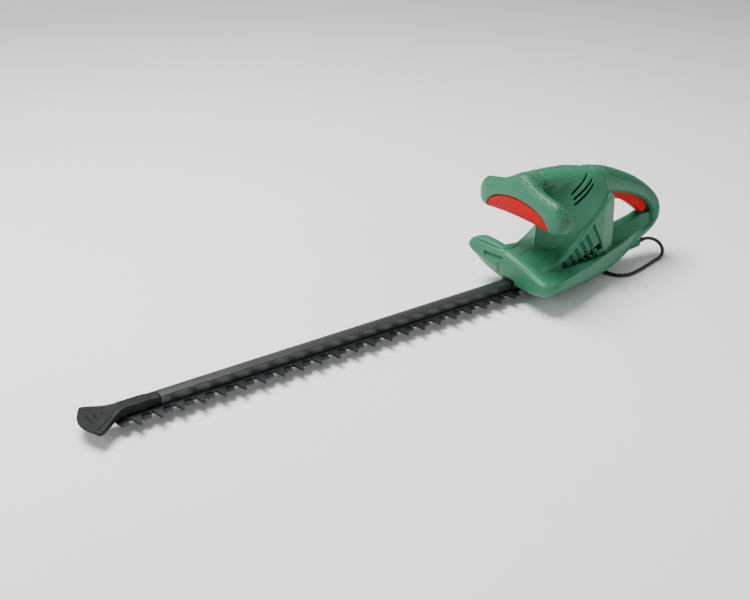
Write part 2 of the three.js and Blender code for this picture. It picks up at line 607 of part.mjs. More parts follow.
function coolingFan() {
  const blades = Array.from({ length: 9 }, (_, i) => {
    const geometry = new THREE.BoxGeometry(17, 1.6, 8);
    geometry.translate(17, 0, 0);
    geometry.rotateZ(2 * Math.PI * i / 9);
    geometry.translate(MOTOR_X, 0, 33);
    return solid(geometry);
  });
  return unite([aboutShaft(28, 30.5, 27, 28), aboutShaft(29, 38, 10, 20), ...blades]);
}
add('cooling_fan', black, coolingFan());

const CORE = { z0: 48, z1: 90, radius: 21 };
add('armature_core', steel, aboutShaft(CORE.z0, CORE.z1, CORE.radius, 28));
add('armature_winding_lower', copper, aboutShaft(42, CORE.z0 - GAP, 16, 24));
add('armature_winding_upper', copper, aboutShaft(CORE.z1 + GAP, 97, 16, 24));
add('commutator', copper, aboutShaft(100, 113, 11, 24));

const coilFrame = (grow) => slab('xz', [
  [MOTOR_X - 16 - grow, 43 - grow], [MOTOR_X + 16 + grow, 43 - grow],
  [MOTOR_X + 16 + grow, 95 + grow], [MOTOR_X - 16 - grow, 95 + grow],
], 24 - grow, 28.5 + grow, { holes: [[
  [MOTOR_X - 10 + grow, 49 + grow], [MOTOR_X - 10 + grow, 89 - grow],
  [MOTOR_X + 10 - grow, 89 - grow], [MOTOR_X + 10 - grow, 49 + grow],
]] });
const mirrorY = (manifold) => manifold.mirror([0, 1, 0]);
const stator = ring(MOTOR_X, 0, CORE.z0, CORE.z1, CORE.radius + 1, 33.8, 32);
add('motor_stator', steel, cutAll(stator, [coilFrame(GAP), mirrorY(coilFrame(GAP))]));
add('field_coil_left', copper, coilFrame(0));
add('field_coil_right', copper, mirrorY(coilFrame(0)));

function motorBracket() {
  const bridge = box(MOTOR_X - 16, MOTOR_X + 16, -27.5, 27.5, 114.5, 117.5);
  const cup = post(MOTOR_X, 0, 115, 126, 11, 24);
  return cutAll(bridge.add(cup), [
    post(MOTOR_X, 0, 118 - GAP, 130, 8 + GAP, 24), post(MOTOR_X, 0, 100, 130, 6, 20),
  ]);
}
add('motor_bracket', black, motorBracket());

for (const [side, sign] of [['left', 1], ['right', -1]]) {
  const place = (piece) => (sign > 0 ? piece : mirrorY(piece));
  const tube = box(MOTOR_X - 4.5, MOTOR_X + 4.5, 13.5, 26, 102, 111);
  const bore = box(MOTOR_X - 2.8, MOTOR_X + 2.8, 10, 30, 103.7, 109.3);
  add(`brush_holder_${side}`, zinc, place(tube.subtract(bore)));
  add(`carbon_brush_${side}`, carbon, place(box(MOTOR_X - 2.5, MOTOR_X + 2.5, 11.4, 23, 104, 109)));
}

// ---------------------------------------------------------------- mains lead
const RELIEF = { x0: 744, taperFrom: 764, x1: 799.7, start: 5.6, end: 3 };
add('strain_relief', rubber, unite([
  bar(RELIEF.x0, RELIEF.taperFrom + 0.5, 0, EXIT.z, RELIEF.start, 16),
  bar(RELIEF.taperFrom, RELIEF.x1, 0, EXIT.z, RELIEF.start, 16, RELIEF.end),
]));
add('cord_clamp', black, box(722, 734, -5.6, 5.6, 9, 12));

// Route of the lead from the strain relief to the plug: (x, y, z) along its centre line.
const CORD_ROUTE = [
  [RELIEF.x1 + GAP, 0, EXIT.z], [804.7, -0.5, 9.4], [809.4, -1.6, 8.9], [816.2, -5.5, 6.9],
  [819.8, -10.9, 3.7], [820.3, -16.6, -0.3], [817.6, -22.2, -4.7], [811, -26.7, -8.9],
  [801.5, -29.5, -11.1], [791.6, -31.5, CORD_Z], [781.8, -33.8, CORD_Z], [771.9, -36.4, CORD_Z],
  [761.8, -38.9, CORD_Z], [751.5, -41, CORD_Z], [741.2, -42.9, CORD_Z], [731, -44.2, CORD_Z],
  [721.4, -43.4, CORD_Z], [712.5, -39.1, CORD_Z], [706.4, -31.3, CORD_Z], [703.7, -21.2, CORD_Z],
  [703.6, -10.4, CORD_Z], [704.2, 2, CORD_Z], [704.6, 14, CORD_Z], [703.4, 26, CORD_Z],
  [699, 38, CORD_Z], [691, 48.5, CORD_Z], [680.5, 56.5, CORD_Z], [668.5, 61.5, CORD_Z],
  [657, 63.8, CORD_Z], [645.8, 64.2, CORD_Z],
];
const CORD_STEPS = 48;

function mainsCord() {
  const path = new THREE.CatmullRomCurve3(CORD_ROUTE.map((p) => new THREE.Vector3(...p)));
  const section = new THREE.Shape(Array.from({ length: 8 }, (_, i) => new THREE.Vector2(
    CORD_RADIUS * Math.cos(2 * Math.PI * i / 8), CORD_RADIUS * Math.sin(2 * Math.PI * i / 8),
  )));
  return solid(new THREE.ExtrudeGeometry(section, {
    extrudePath: path, steps: CORD_STEPS, bevelEnabled: false,
  }));
}
add('mains_cord', rubber, mainsCord());

// ---------------------------------------------------------------- plug
// Flat two-pin moulded plug lying on its side, pins pointing forward.
const PLUG = { x: 645.5, y: 64.2, z: FLOOR_Z + 8 };
function plugBody() {
  const outline = [[0, -4], [-10, -5], [-14, -12], [-34, -17], [-38, -14], [-38, 14], [-34, 17], [-14, 12],
    [-10, 5], [0, 4]];
  const plan = outline.map(([x, y]) => [PLUG.x + x, PLUG.y + y]).reverse();
  return slab('xy', plan, FLOOR_Z + 0.2, FLOOR_Z + 14, { bevel: 1.5, bevelSegments: 1 });
}
add('plug_body', rubber, plugBody());
[-9.3, 9.3].forEach((y, i) => {
  add(`plug_pin_${i + 1}`, steel, bar(PLUG.x - 57, PLUG.x - 38 - GAP, PLUG.y + y, PLUG.z - 0.5, 2, 12));
});

group.updateMatrixWorld(true);

export default group;
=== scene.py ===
"""Looks of a corded hedge trimmer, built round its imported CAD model.

Shapes are worked out in the CAD source's working frame, in millimetres: X from the blade's tip to the
rear handle, Y = 0 in the plane of symmetry, Z = 0 at the underside of the fixed comb. place() turns
that into the row frame in metres.
"""

import json
import math

import bmesh
import bpy
import numpy as np
import openvdb
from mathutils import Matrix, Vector


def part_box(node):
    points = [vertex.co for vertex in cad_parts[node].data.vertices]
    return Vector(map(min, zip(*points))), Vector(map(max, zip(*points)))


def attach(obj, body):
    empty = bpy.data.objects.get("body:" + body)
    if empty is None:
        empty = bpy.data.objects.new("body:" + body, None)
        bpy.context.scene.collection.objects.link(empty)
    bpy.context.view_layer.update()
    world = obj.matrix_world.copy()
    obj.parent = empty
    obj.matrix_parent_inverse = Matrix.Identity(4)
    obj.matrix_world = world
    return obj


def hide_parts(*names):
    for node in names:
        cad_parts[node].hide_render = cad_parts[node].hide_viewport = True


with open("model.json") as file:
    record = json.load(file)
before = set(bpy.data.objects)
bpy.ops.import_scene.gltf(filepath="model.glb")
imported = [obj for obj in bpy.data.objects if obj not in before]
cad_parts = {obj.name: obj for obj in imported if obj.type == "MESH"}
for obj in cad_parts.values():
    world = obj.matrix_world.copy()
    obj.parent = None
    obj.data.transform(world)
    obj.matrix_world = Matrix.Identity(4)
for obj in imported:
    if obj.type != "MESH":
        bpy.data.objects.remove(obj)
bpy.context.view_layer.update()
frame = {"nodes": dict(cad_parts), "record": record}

# ------------------------ driving dimensions
MIDDLE_X = 378.5  # middle of the machine's length
FLOOR_Z = -14.0  # surface the machine stands on
MM = 0.001
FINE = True
BODY_STEP = 1.0 if FINE else 1.6  # cell of the fields that hold the body
DETAIL_STEP = 0.6 if FINE else 1.0
BAND = 12.0  # distances are known this far from a surface

CAMERA_AT = (-327.34, -930.73, 604.2)
CAMERA_AZIMUTH = -34.84
CAMERA_ELEVATION = 26.26
CAMERA_LENS = 50.0

CORD_RADIUS = 2.5
CORD_Z = FLOOR_Z + CORD_RADIUS + 0.1
EXIT = (800.0, 0.0, 9.5)
CORD_FALL = [
    EXIT, (804.7, -0.5, 9.4), (809.4, -1.6, 8.9), (816.2, -5.5, 6.9), (819.8, -10.9, 3.7),
    (820.3, -16.6, -0.3), (817.6, -22.2, -4.7), (811, -26.7, -8.9), (801.5, -29.5, -11.1),
]
# The rest of the lead lies on the floor, as (x, y).
CORD_FLAT = [
    (791.6, -31.5), (781.8, -33.8), (771.9, -36.4), (761.8, -38.9), (751.5, -41), (741.2, -42.9),
    (731, -44.2), (721.4, -43.4), (712.5, -39.1), (706.4, -31.3), (703.7, -21.2), (703.6, -10.4),
    (704.2, 2), (704.6, 14), (703.4, 26), (699, 38), (691, 48.5), (680.5, 56.5), (668.5, 61.5),
    (657, 63.8), (645.8, 64.2),
]
CORD_ROUTE = CORD_FALL + [(x, y, CORD_Z) for x, y in CORD_FLAT]

SEAM = 0.15  # half of the gap between the housing halves
SHELL = 3.0  # moulded wall thickness
HANDLE_SPLIT_X = 562.0  # joint between the front handle's two shells
HANDLE_BACK_X = 575.0  # joint between the front handle and the neck
LEVER_BACK_X = 559.5
LEVER_TRAVEL = 3.5  # the front switch bar moves this far rearwards


def place(points):
    """Points in the working frame as points in the row frame, in metres."""
    return (np.asarray(points, float) + (-MIDDLE_X, 0, -FLOOR_Z)) * MM


# ------------------------ camera and light
def make_camera():
    azimuth = math.radians(CAMERA_AZIMUTH)
    elevation = math.radians(CAMERA_ELEVATION)
    back = Vector((
        math.sin(azimuth) * math.cos(elevation),
        -math.cos(azimuth) * math.cos(elevation),
        math.sin(elevation),
    ))
    data = bpy.data.cameras.new("camera")
    data.lens = CAMERA_LENS
    data.sensor_width = 36
    data.clip_start = 0.05
    data.clip_end = 60
    camera = bpy.data.objects.new("camera", data)
    camera.location = place(CAMERA_AT)
    camera.rotation_mode = "QUATERNION"
    camera.rotation_quaternion = (-back).to_track_quat("-Z", "Y")
    bpy.context.scene.collection.objects.link(camera)
    bpy.context.scene.camera = camera


SKY_STRENGTH = 0.36
LIT_POINT = (0.0, 0.0, 0.06)
# Name, place and size in metres, power in watts.
LIGHTS = [
    ("key", (-0.4, 0.6, 2.0), (1.3, 1.1), 96),
    ("fill", (1.0, -1.8, 0.7), (1.2, 1.0), 7),
    ("rim", (-1.8, 0.3, 0.9), (1.2, 0.8), 10),
]


def make_light(name, at, target, size, power):
    data = bpy.data.lights.new(name, "AREA")
    data.shape = "RECTANGLE"
    data.size, data.size_y = size
    data.energy = power
    light = bpy.data.objects.new(name, data)
    light.location = at
    light.rotation_mode = "QUATERNION"
    light.rotation_quaternion = (Vector(target) - Vector(at)).to_track_quat("-Z", "Y")
    bpy.context.scene.collection.objects.link(light)


def make_world():
    world = bpy.data.worlds.new("studio")
    world.use_nodes = True
    background = world.node_tree.nodes["Background"]
    background.inputs["Color"].default_value = (1.0, 1.0, 1.0, 1)
    background.inputs["Strength"].default_value = SKY_STRENGTH
    bpy.context.scene.world = world


make_camera()
make_world()
for name, at, size, power in LIGHTS:
    make_light(name, at, LIT_POINT, size, power)


# ------------------------ materials
class Nodes:
    """A material's node tree, with short calls for the nodes used here."""

    def __init__(self, name):
        self.material = bpy.data.materials.new(name)
        self.material.use_nodes = True
        self.tree = self.material.node_tree
        self.shader = self.tree.nodes["Principled BSDF"]
        self.coordinates = self.add("ShaderNodeTexCoord").outputs["Object"]

    def add(self, kind, **settings):
        node = self.tree.nodes.new(kind)
        for key, value in settings.items():
            setattr(node, key, value)
        return node

    def link(self, out, into):
        self.tree.links.new(out, into)

    def noise(self, scale, detail=3.0, roughness=0.5, stretch=None):
        node = self.add("ShaderNodeTexNoise")
        node.inputs["Scale"].default_value = scale
        node.inputs["Detail"].default_value = detail
        node.inputs["Roughness"].default_value = roughness
        self.link(self.mapped(stretch), node.inputs["Vector"])
        return node.outputs["Fac"]

    def mapped(self, stretch):
        if stretch is None:
            return self.coordinates
        node = self.add("ShaderNodeMapping")
        node.inputs["Scale"].default_value = stretch
        self.link(self.coordinates, node.inputs["Vector"])
        return node.outputs["Vector"]

    def ramp(self, value, stops):
        node = self.add("ShaderNodeValToRGB")
        elements = node.color_ramp.elements
        while len(elements) < len(stops):
            elements.new(0.5)
        for element, (at, colour) in zip(elements, stops):
            element.position = at
            element.color = (*colour, 1) if len(colour) == 3 else colour
        self.link(value, node.inputs["Fac"])
        return node.outputs["Color"]

    def range(self, value, low, high, source=(0.0, 1.0)):
        node = self.add("ShaderNodeMapRange")
        node.inputs["From Min"].default_value = source[0]
        node.inputs["From Max"].default_value = source[1]
        node.inputs["To Min"].default_value = low
        node.inputs["To Max"].default_value = high
        self.link(value, node.inputs["Value"])
        return node.outputs["Result"]

    def math(self, operation, first, second):
        node = self.add("ShaderNodeMath", operation=operation)
        for socket, value in zip(node.inputs, (first, second)):
            if isinstance(value, (int, float)):
                socket.default_value = value
            else:
                self.link(value, socket)
        return node.outputs["Value"]

    def bump(self, height, strength, distance, previous=None):
        node = self.add("ShaderNodeBump")
        node.inputs["Strength"].default_value = strength
        node.inputs["Distance"].default_value = distance
        self.link(height, node.inputs["Height"])
        if previous is not None:
            self.link(previous, node.inputs["Normal"])
        return node.outputs["Normal"]


def tint(colour, factor):
    return tuple(min(1.0, c * factor) for c in colour)


DIMPLES = 310  # dimples a metre
DIMPLE_SCATTER = 0.35  # 0 is a strict lattice
DIMPLE_EDGE = (0.17, 0.3)  # a dimple's inner and outer radius, as parts of their spacing


def dimple_distance(n, scale):
    """Distance to the nearest dimple of a lattice laid on the surface from the side it faces most."""
    facing = n.add("ShaderNodeSeparateXYZ")
    n.link(n.add("ShaderNodeNewGeometry").outputs["Normal"], facing.inputs["Vector"])
    place_on = n.add("ShaderNodeSeparateXYZ")
    n.link(n.coordinates, place_on.inputs["Vector"])
    size = [n.math("ABSOLUTE", facing.outputs[axis], 0.0) for axis in "XYZ"]
    lattices = []
    for across, along in ("YZ", "XZ", "XY"):
        flat = n.add("ShaderNodeCombineXYZ")
        n.link(place_on.outputs[across], flat.inputs["X"])
        n.link(place_on.outputs[along], flat.inputs["Y"])
        cells = n.add("ShaderNodeTexVoronoi", feature="F1", voronoi_dimensions="2D")
        cells.inputs["Scale"].default_value = scale
        cells.inputs["Randomness"].default_value = DIMPLE_SCATTER
        n.link(flat.outputs["Vector"], cells.inputs["Vector"])
        lattices.append(cells.outputs["Distance"])
    nearest = lattices[0]
    largest = size[0]
    for k in (1, 2):
        more = n.math("GREATER_THAN", size[k], largest)
        change = n.math("MULTIPLY", more, n.math("SUBTRACT", lattices[k], nearest))
        nearest = n.math("ADD", nearest, change)
        largest = n.math("MAXIMUM", largest, size[k])
    return nearest


def plastic(name, colour, roughness=0.42, grain=0.25, dimples=None, spread=0.06, shine=0.5):
    """Moulded plastic: spark-eroded grain, faint flow marks and, on a grip, rows of small dimples whose pits
    are darkened with painted shade.
    """
    n = Nodes(name)
    flow = n.noise(14, 4, 0.55)
    speckle = n.noise(900, 2, 0.6)
    mixed = n.math("ADD", n.math("MULTIPLY", flow, 0.7), n.math("MULTIPLY", speckle, 0.3))
    shade = n.ramp(mixed, [(0.3, tint(colour, 1 - spread)), (0.7, tint(colour, 1 + spread))])
    n.link(shade, n.shader.inputs["Base Color"])
    n.link(n.range(flow, roughness - 0.06, roughness + 0.07), n.shader.inputs["Roughness"])
    n.shader.inputs["Specular IOR Level"].default_value = shine
    normal = n.bump(n.noise(2200, 3, 0.7), grain, 0.00012)
    if dimples is not None:
        distance = dimple_distance(n, dimples)
        zone = n.add("ShaderNodeAttribute", attribute_name="dimpled").outputs["Fac"]
        pit = n.math("MULTIPLY", n.range(distance, 1.0, 0.0, DIMPLE_EDGE), zone)
        normal = n.bump(n.math("SUBTRACT", 1.0, pit), 1.0, 0.0012, normal)
        # Painted shade: each dimple's pit is darkened towards a third of the colour, standing in for the
        # shade inside it.
        dark = n.add("ShaderNodeMix", data_type="RGBA")
        n.link(pit, dark.inputs["Factor"])
        n.link(shade, dark.inputs["A"])
        dark.inputs["B"].default_value = (*tint(colour, 0.3), 1)
        n.link(dark.outputs["Result"], n.shader.inputs["Base Color"])
    n.link(normal, n.shader.inputs["Normal"])
    return n.material


def metal(name, colour, roughness=0.3, brushed=(1, 1, 1), metallic=1.0, spread=0.12, wear=0.1):
    """Machined metal: fine directional scratches, with duller and brighter patches."""
    n = Nodes(name)
    patches = n.noise(30, 5, 0.6)
    scratches = n.noise(420, 3, 0.75, brushed)
    mixed = n.math("ADD", n.math("MULTIPLY", patches, 0.55), n.math("MULTIPLY", scratches, 0.45))
    shade = n.ramp(mixed, [(0.3, tint(colour, 1 - spread)), (0.7, tint(colour, 1 + spread))])
    n.link(shade, n.shader.inputs["Base Color"])
    n.shader.inputs["Metallic"].default_value = metallic
    n.link(n.range(mixed, roughness - wear, roughness + wear, (0.3, 0.7)), n.shader.inputs["Roughness"])
    n.link(n.bump(scratches, 0.25, 0.0001), n.shader.inputs["Normal"])
    return n.material


def rubber(name, colour, roughness=0.6):
    n = Nodes(name)
    dust = n.noise(60, 4, 0.6)
    shade = n.ramp(dust, [(0.35, tint(colour, 0.8)), (0.75, tint(colour, 1.5))])
    n.link(shade, n.shader.inputs["Base Color"])
    n.link(n.range(dust, roughness - 0.08, roughness + 0.1), n.shader.inputs["Roughness"])
    n.link(n.bump(n.noise(1500, 2, 0.6), 0.3, 0.0001), n.shader.inputs["Normal"])
    return n.material


def winding(name, colour):
    """Enamelled wire laid side by side, with painted shade in the grooves between the turns."""
    n = Nodes(name)
    wave = n.add("ShaderNodeTexWave", wave_type="BANDS", bands_direction="Z")
    wave.inputs["Scale"].default_value = 380
    wave.inputs["Distortion"].default_value = 1.2
    n.link(n.coordinates, wave.inputs["Vector"])
    # Painted shade: each band runs from about a third of the colour, where neighbouring turns meet, up to the
    # full copper colour.
    n.link(n.ramp(wave.outputs["Fac"], [(0.1, tint(colour, 0.35)), (0.6, colour)]),
           n.shader.inputs["Base Color"])
    n.shader.inputs["Metallic"].default_value = 0.85
    n.link(n.range(wave.outputs["Fac"], 0.5, 0.3), n.shader.inputs["Roughness"])
    n.link(n.bump(wave.outputs["Fac"], 0.7, 0.0004), n.shader.inputs["Normal"])
    return n.material


def laminations(name, colour):
    """Stacked sheets of electrical steel under dark lacquer."""
    n = Nodes(name)
    wave = n.add("ShaderNodeTexWave", wave_type="BANDS", bands_direction="Z")
    wave.inputs["Scale"].default_value = 320
    n.link(n.coordinates, wave.inputs["Vector"])
    shade = n.ramp(wave.outputs["Fac"], [(0.2, tint(colour, 0.6)), (0.8, colour)])
    n.link(shade, n.shader.inputs["Base Color"])
    n.shader.inputs["Metallic"].default_value = 0.4
    n.link(n.range(n.noise(80, 3), 0.45, 0.7), n.shader.inputs["Roughness"])
    n.link(n.bump(wave.outputs["Fac"], 0.4, 0.0002), n.shader.inputs["Normal"])
    return n.material


GREEN = (0.020, 0.142, 0.072)
MATERIALS = {
    "housing_green": plastic("housing_green", GREEN, 0.45, dimples=DIMPLES, shine=0.35),
    "grip_green": plastic("grip_green", tint(GREEN, 1.03), 0.47, 0.35, dimples=DIMPLES),
    "switch_red": plastic("switch_red", (0.44, 0.003, 0.003), 0.5, 0.08, spread=0.04, shine=0.08),
    "black_plastic": plastic("black_plastic", (0.012, 0.013, 0.014), 0.5, 0.3, spread=0.2, shine=0.35),
    "rail_black": plastic("rail_black", (0.011, 0.013, 0.0135), 0.36, 0.15, spread=0.25, shine=0.7),
    "tip_black": plastic("tip_black", (0.006, 0.007, 0.0075), 0.55, 0.3, spread=0.2, shine=0.2),
    "blade_steel": metal("blade_steel", (0.045, 0.050, 0.052), 0.36, (1, 12, 1), 0.85, 0.3),
    "machined_steel": metal("machined_steel", (0.45, 0.46, 0.47), 0.3, (1, 1, 9)),
    "plated_pin": metal("plated_pin", (0.72, 0.71, 0.68), 0.2, (9, 1, 1), spread=0.05),
    "copper": winding("copper", (0.62, 0.24, 0.09)),
    # Painted shade: the cast alloy is a much darker grey than bare alloy, so that the gear case seen through
    # the vent openings reads as the shade inside the housing.
    "cast_alloy": metal("cast_alloy", (0.16, 0.165, 0.17), 0.55, (1, 1, 1), 0.9),
    "carbon": rubber("carbon", (0.03, 0.03, 0.033), 0.7),
    "capacitor_shell": plastic("capacitor_shell", (0.55, 0.45, 0.2), 0.35, 0.1),
    "cord_rubber": rubber("cord_rubber", (0.010, 0.010, 0.011), 0.5),
    "laminated_steel": laminations("laminated_steel", (0.05, 0.05, 0.055)),
}
SLOT_OF = {entry["node"]: entry["material_slot"] for entry in frame["record"]["subparts"]}
LAMINATED = ("motor_stator", "armature_core")


def finish_as(obj, name):
    obj.data.materials.clear()
    obj.data.materials.append(MATERIALS[name])


def dress_cad_nodes(bevel=0.35):
    """Gives each CAD node that stays its material and softly broken edges."""
    for name, obj in frame["nodes"].items():
        finish_as(obj, "laminated_steel" if name in LAMINATED else SLOT_OF[name])
        modifier = obj.modifiers.new("edges", "BEVEL")
        modifier.width = bevel * MM
        modifier.segments = 2
        modifier.limit_method = "ANGLE"
        modifier.angle_limit = math.radians(38)
        modifier.harden_normals = True
        for polygon in obj.data.polygons:
            polygon.use_smooth = True


# ------------------------ fields
class Grid:
    """A block of space sampled every step millimetres, holding signed distances."""

    def __init__(self, low, high, step):
        self.low = np.asarray(low, float)
        self.step = step
        self.shape = tuple(int(math.ceil((b - a) / step)) + 1 for a, b in zip(low, high))
        lines = [(self.low[k] + step * np.arange(self.shape[k])).astype(np.float32) for k in range(3)]
        self.x = lines[0][:, None, None]
        self.y = lines[1][None, :, None]
        self.z = lines[2][None, None, :]

    def full(self, value):
        return np.broadcast_to(value, self.shape).astype(np.float32)

    def of_mesh(self, points, quads, tris, band=BAND):
        """Signed distance to a closed mesh, in millimetres, cut off at the band's width."""
        volume = openvdb.FloatGrid.createLevelSetFromPolygons(
            ((np.asarray(points) - self.low) / self.step).astype(np.float32),
            triangles=np.asarray(tris, np.uint32).reshape(-1, 3),
            quads=np.asarray(quads, np.uint32).reshape(-1, 4),
            transform=openvdb.createLinearTransform(voxelSize=1.0),
            halfWidth=band / self.step,
        )
        values = np.full(self.shape, band / self.step, np.float32)
        volume.copyToArray(values, ijk=(0, 0, 0))
        return values * self.step


def join(a, b, radius=0.0):
    """Union; a radius fills the inner corner."""
    if np.isscalar(radius) and radius <= 0:
        return np.minimum(a, b)
    h = np.clip(0.5 + 0.5 * (b - a) / radius, 0, 1)
    return b + (a - b) * h - radius * h * (1 - h)


def fillet(a, b, radius, step):
    """Union with a filled corner where the surfaces cross; they keep their shape where they run together."""
    along = sum(p * q for p, q in zip(np.gradient(a), np.gradient(b))) / step ** 2
    return join(a, b, radius * np.clip(1 - along, 0.02, 1))


def cut(a, b, radius=0.0):
    """a without b; a radius rounds the edge."""
    return -join(-a, b, radius)


def common(a, b, radius=0.0):
    return -join(-a, -b, radius)


def polygon_distance(u, v, outline):
    """Signed distance in a plane to a closed outline; u and v broadcast to the plane's grid."""
    points = np.asarray(outline, float)
    best = None
    inside = None
    for (ax, ay), (bx, by) in zip(points, np.roll(points, -1, axis=0)):
        ex, ey = bx - ax, by - ay
        t = np.clip(((u - ax) * ex + (v - ay) * ey) / (ex * ex + ey * ey), 0, 1)
        distance = (u - ax - t * ex) ** 2 + (v - ay - t * ey) ** 2
        best = distance if best is None else np.minimum(best, distance)
        if ay != by:
            crosses = ((ay > v) != (by > v)) & (u < (bx - ax) * (v - ay) / (by - ay) + ax)
            inside = crosses if inside is None else inside ^ crosses
    return np.where(inside, -1, 1) * np.sqrt(best)


def bar_distance(u, v, start, end, width):
    """Signed distance in a plane to a straight strip with square ends."""
    (ax, ay), (bx, by) = start, end
    length = math.hypot(bx - ax, by - ay)
    ex, ey = (bx - ax) / length, (by - ay) / length
    along = (u - (ax + bx) / 2) * ex + (v - (ay + by) / 2) * ey
    across = (v - (ay + by) / 2) * ex - (u - (ax + bx) / 2) * ey
    return np.maximum(np.abs(along) - length / 2, np.abs(across) - width / 2)


def polyline_distance(u, v, points, width):
    """Signed distance in a plane to a strip with round ends that follows a line of points."""
    best = None
    for (ax, ay), (bx, by) in zip(points, points[1:]):
        ex, ey = bx - ax, by - ay
        t = np.clip(((u - ax) * ex + (v - ay) * ey) / (ex * ex + ey * ey), 0, 1)
        distance = np.sqrt((u - ax - t * ex) ** 2 + (v - ay - t * ey) ** 2)
        best = distance if best is None else np.minimum(best, distance)
    return best - width / 2


def soften(values, passes=1):
    """Rounds every edge a little by averaging neighbours."""
    for _ in range(passes):
        for axis in range(3):
            rolled = np.moveaxis(values, axis, 0)
            middle = rolled[1:-1] * 0.5 + (rolled[:-2] + rolled[2:]) * 0.25
            rolled[1:-1] = middle
    return values


# ------------------------ lofts
def spline(rows, count, closed=False):
    """Catmull-Rom curve through rows of an array, with count steps between neighbours."""
    rows = np.asarray(rows, float)
    if closed:
        padded = np.concatenate([rows[-1:], rows, rows[:2]])
    else:
        padded = np.concatenate([2 * rows[:1] - rows[1:2], rows, 2 * rows[-1:] - rows[-2:-1]])
    spans = len(padded) - 3
    out = []
    for i in range(spans):
        p0, p1, p2, p3 = padded[i:i + 4]
        for k in range(count):
            t = k / count
            out.append(0.5 * (2 * p1 + (p2 - p0) * t + (2 * p0 - 5 * p1 + 4 * p2 - p3) * t ** 2
                              + (3 * p1 - p0 - 3 * p2 + p3) * t ** 3))
    if not closed:
        out.append(rows[-1])
    return np.array(out)


def loft(rings, around=4, along=5):
    """Closed smooth skin through rings of points: (points, quads, triangles)."""
    rings = np.asarray(rings, float)
    rings = spline(rings, along)
    if around > 1:
        rings = np.stack([spline(ring, around, closed=True) for ring in rings])
    rows, count = rings.shape[:2]
    index = np.arange(rows * count).reshape(rows, count)
    a, b = index[:-1], index[1:]
    quads = np.stack([a, np.roll(a, -1, 1), np.roll(b, -1, 1), b], -1).reshape(-1, 4)
    points = np.concatenate([rings.reshape(-1, 3), rings[:1].mean(1), rings[-1:].mean(1)])
    first, last = rows * count, rows * count + 1
    caps = []
    for i in range(count):
        j = (i + 1) % count
        caps.append((first, index[0, j], index[0, i]))
        caps.append((last, index[-1, i], index[-1, j]))
    return points, quads, np.array(caps)


def mirrored_ring(x, half):
    """Ring at x from half of its outline, given as (y, z) from bottom to top."""
    right = [(x, y, z) for y, z in half]
    left = [(x, -y, z) for y, z in reversed(half) if y > 0]
    return right + left


def super_ring(centre, radial, side, count=32, power=2.5):
    """Rounded section: radial and side are its two half axes as vectors."""
    out = []
    for i in range(count):
        c, s = math.cos(2 * math.pi * i / count), math.sin(2 * math.pi * i / count)
        a = math.copysign(abs(c) ** (2 / power), c)
        b = math.copysign(abs(s) ** (2 / power), s)
        out.append([centre[k] + radial[k] * a + side[k] * b for k in range(3)])
    return out


# ------------------------ meshes
def new_object(name, mesh):
    obj = bpy.data.objects.new(name, mesh)
    bpy.context.scene.collection.objects.link(obj)
    return obj


def object_of_field(name, grid, values, dimples=None):
    """Surface of a field at zero, with the field's own slope as its shading normals.

    dimples gives how deep inside the dimpled zone each point (x, y, z) is, in millimetres."""
    values = values.copy()
    for axis in range(3):
        edge = np.moveaxis(values, axis, 0)
        edge[0] = np.maximum(edge[0], 1.0)
        edge[-1] = np.maximum(edge[-1], 1.0)
    volume = openvdb.FloatGrid()
    volume.background = float(BAND)
    volume.copyFromArray(np.clip(values, -BAND, BAND).astype(np.float32))
    points, quads = volume.convertToQuads(0.0)
    points = np.asarray(points, float)
    quads = np.asarray(quads, np.int64)[:, ::-1]
    slopes = np.gradient(values)
    cell = np.clip(np.floor(points).astype(int), 0, np.array(values.shape) - 2)
    part = points - cell
    normals = np.zeros_like(points)
    for corner in range(8):
        step = np.array([corner & 1, corner >> 1 & 1, corner >> 2 & 1])
        weight = np.prod(np.where(step, part, 1 - part), axis=1)
        at = tuple((cell + step).T)
        normals += weight[:, None] * np.stack([slope[at] for slope in slopes], -1)
    normals /= np.maximum(np.linalg.norm(normals, axis=1, keepdims=True), 1e-6)
    mesh = bpy.data.meshes.new(name)
    mesh.vertices.add(len(points))
    mesh.vertices.foreach_set("co", place(points * grid.step + grid.low).astype(np.float32).ravel())
    mesh.loops.add(quads.size)
    mesh.loops.foreach_set("vertex_index", quads.astype(np.int32).ravel())
    mesh.polygons.add(len(quads))
    mesh.polygons.foreach_set("loop_start", np.arange(0, quads.size, 4, dtype=np.int32))
    mesh.update(calc_edges=True)
    mesh.validate()
    mesh.polygons.foreach_set("use_smooth", np.ones(len(mesh.polygons), bool))
    first = mesh.polygons[0]
    if first.normal.dot(Vector(normals[first.vertices[0]])) < 0:
        mesh.flip_normals()
    mesh.normals_split_custom_set_from_vertices(normals.tolist())
    if dimples is not None:
        zone = mesh.attributes.new("dimpled", "FLOAT", "POINT")
        values = np.clip(dimples(*(points * grid.step + grid.low).T), 0, 1)
        zone.data.foreach_set("value", values.astype(np.float32))
    return new_object(name, mesh)


def stand_in(obj, node):
    """obj shows in place of the CAD node and moves with its body."""
    body = next(name for name, nodes in frame["record"]["behaviour"]["bodies"].items() if node in nodes)
    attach(obj, body)
    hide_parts(node)
    slot = SLOT_OF[node]
    finish_as(obj, slot)
    return obj


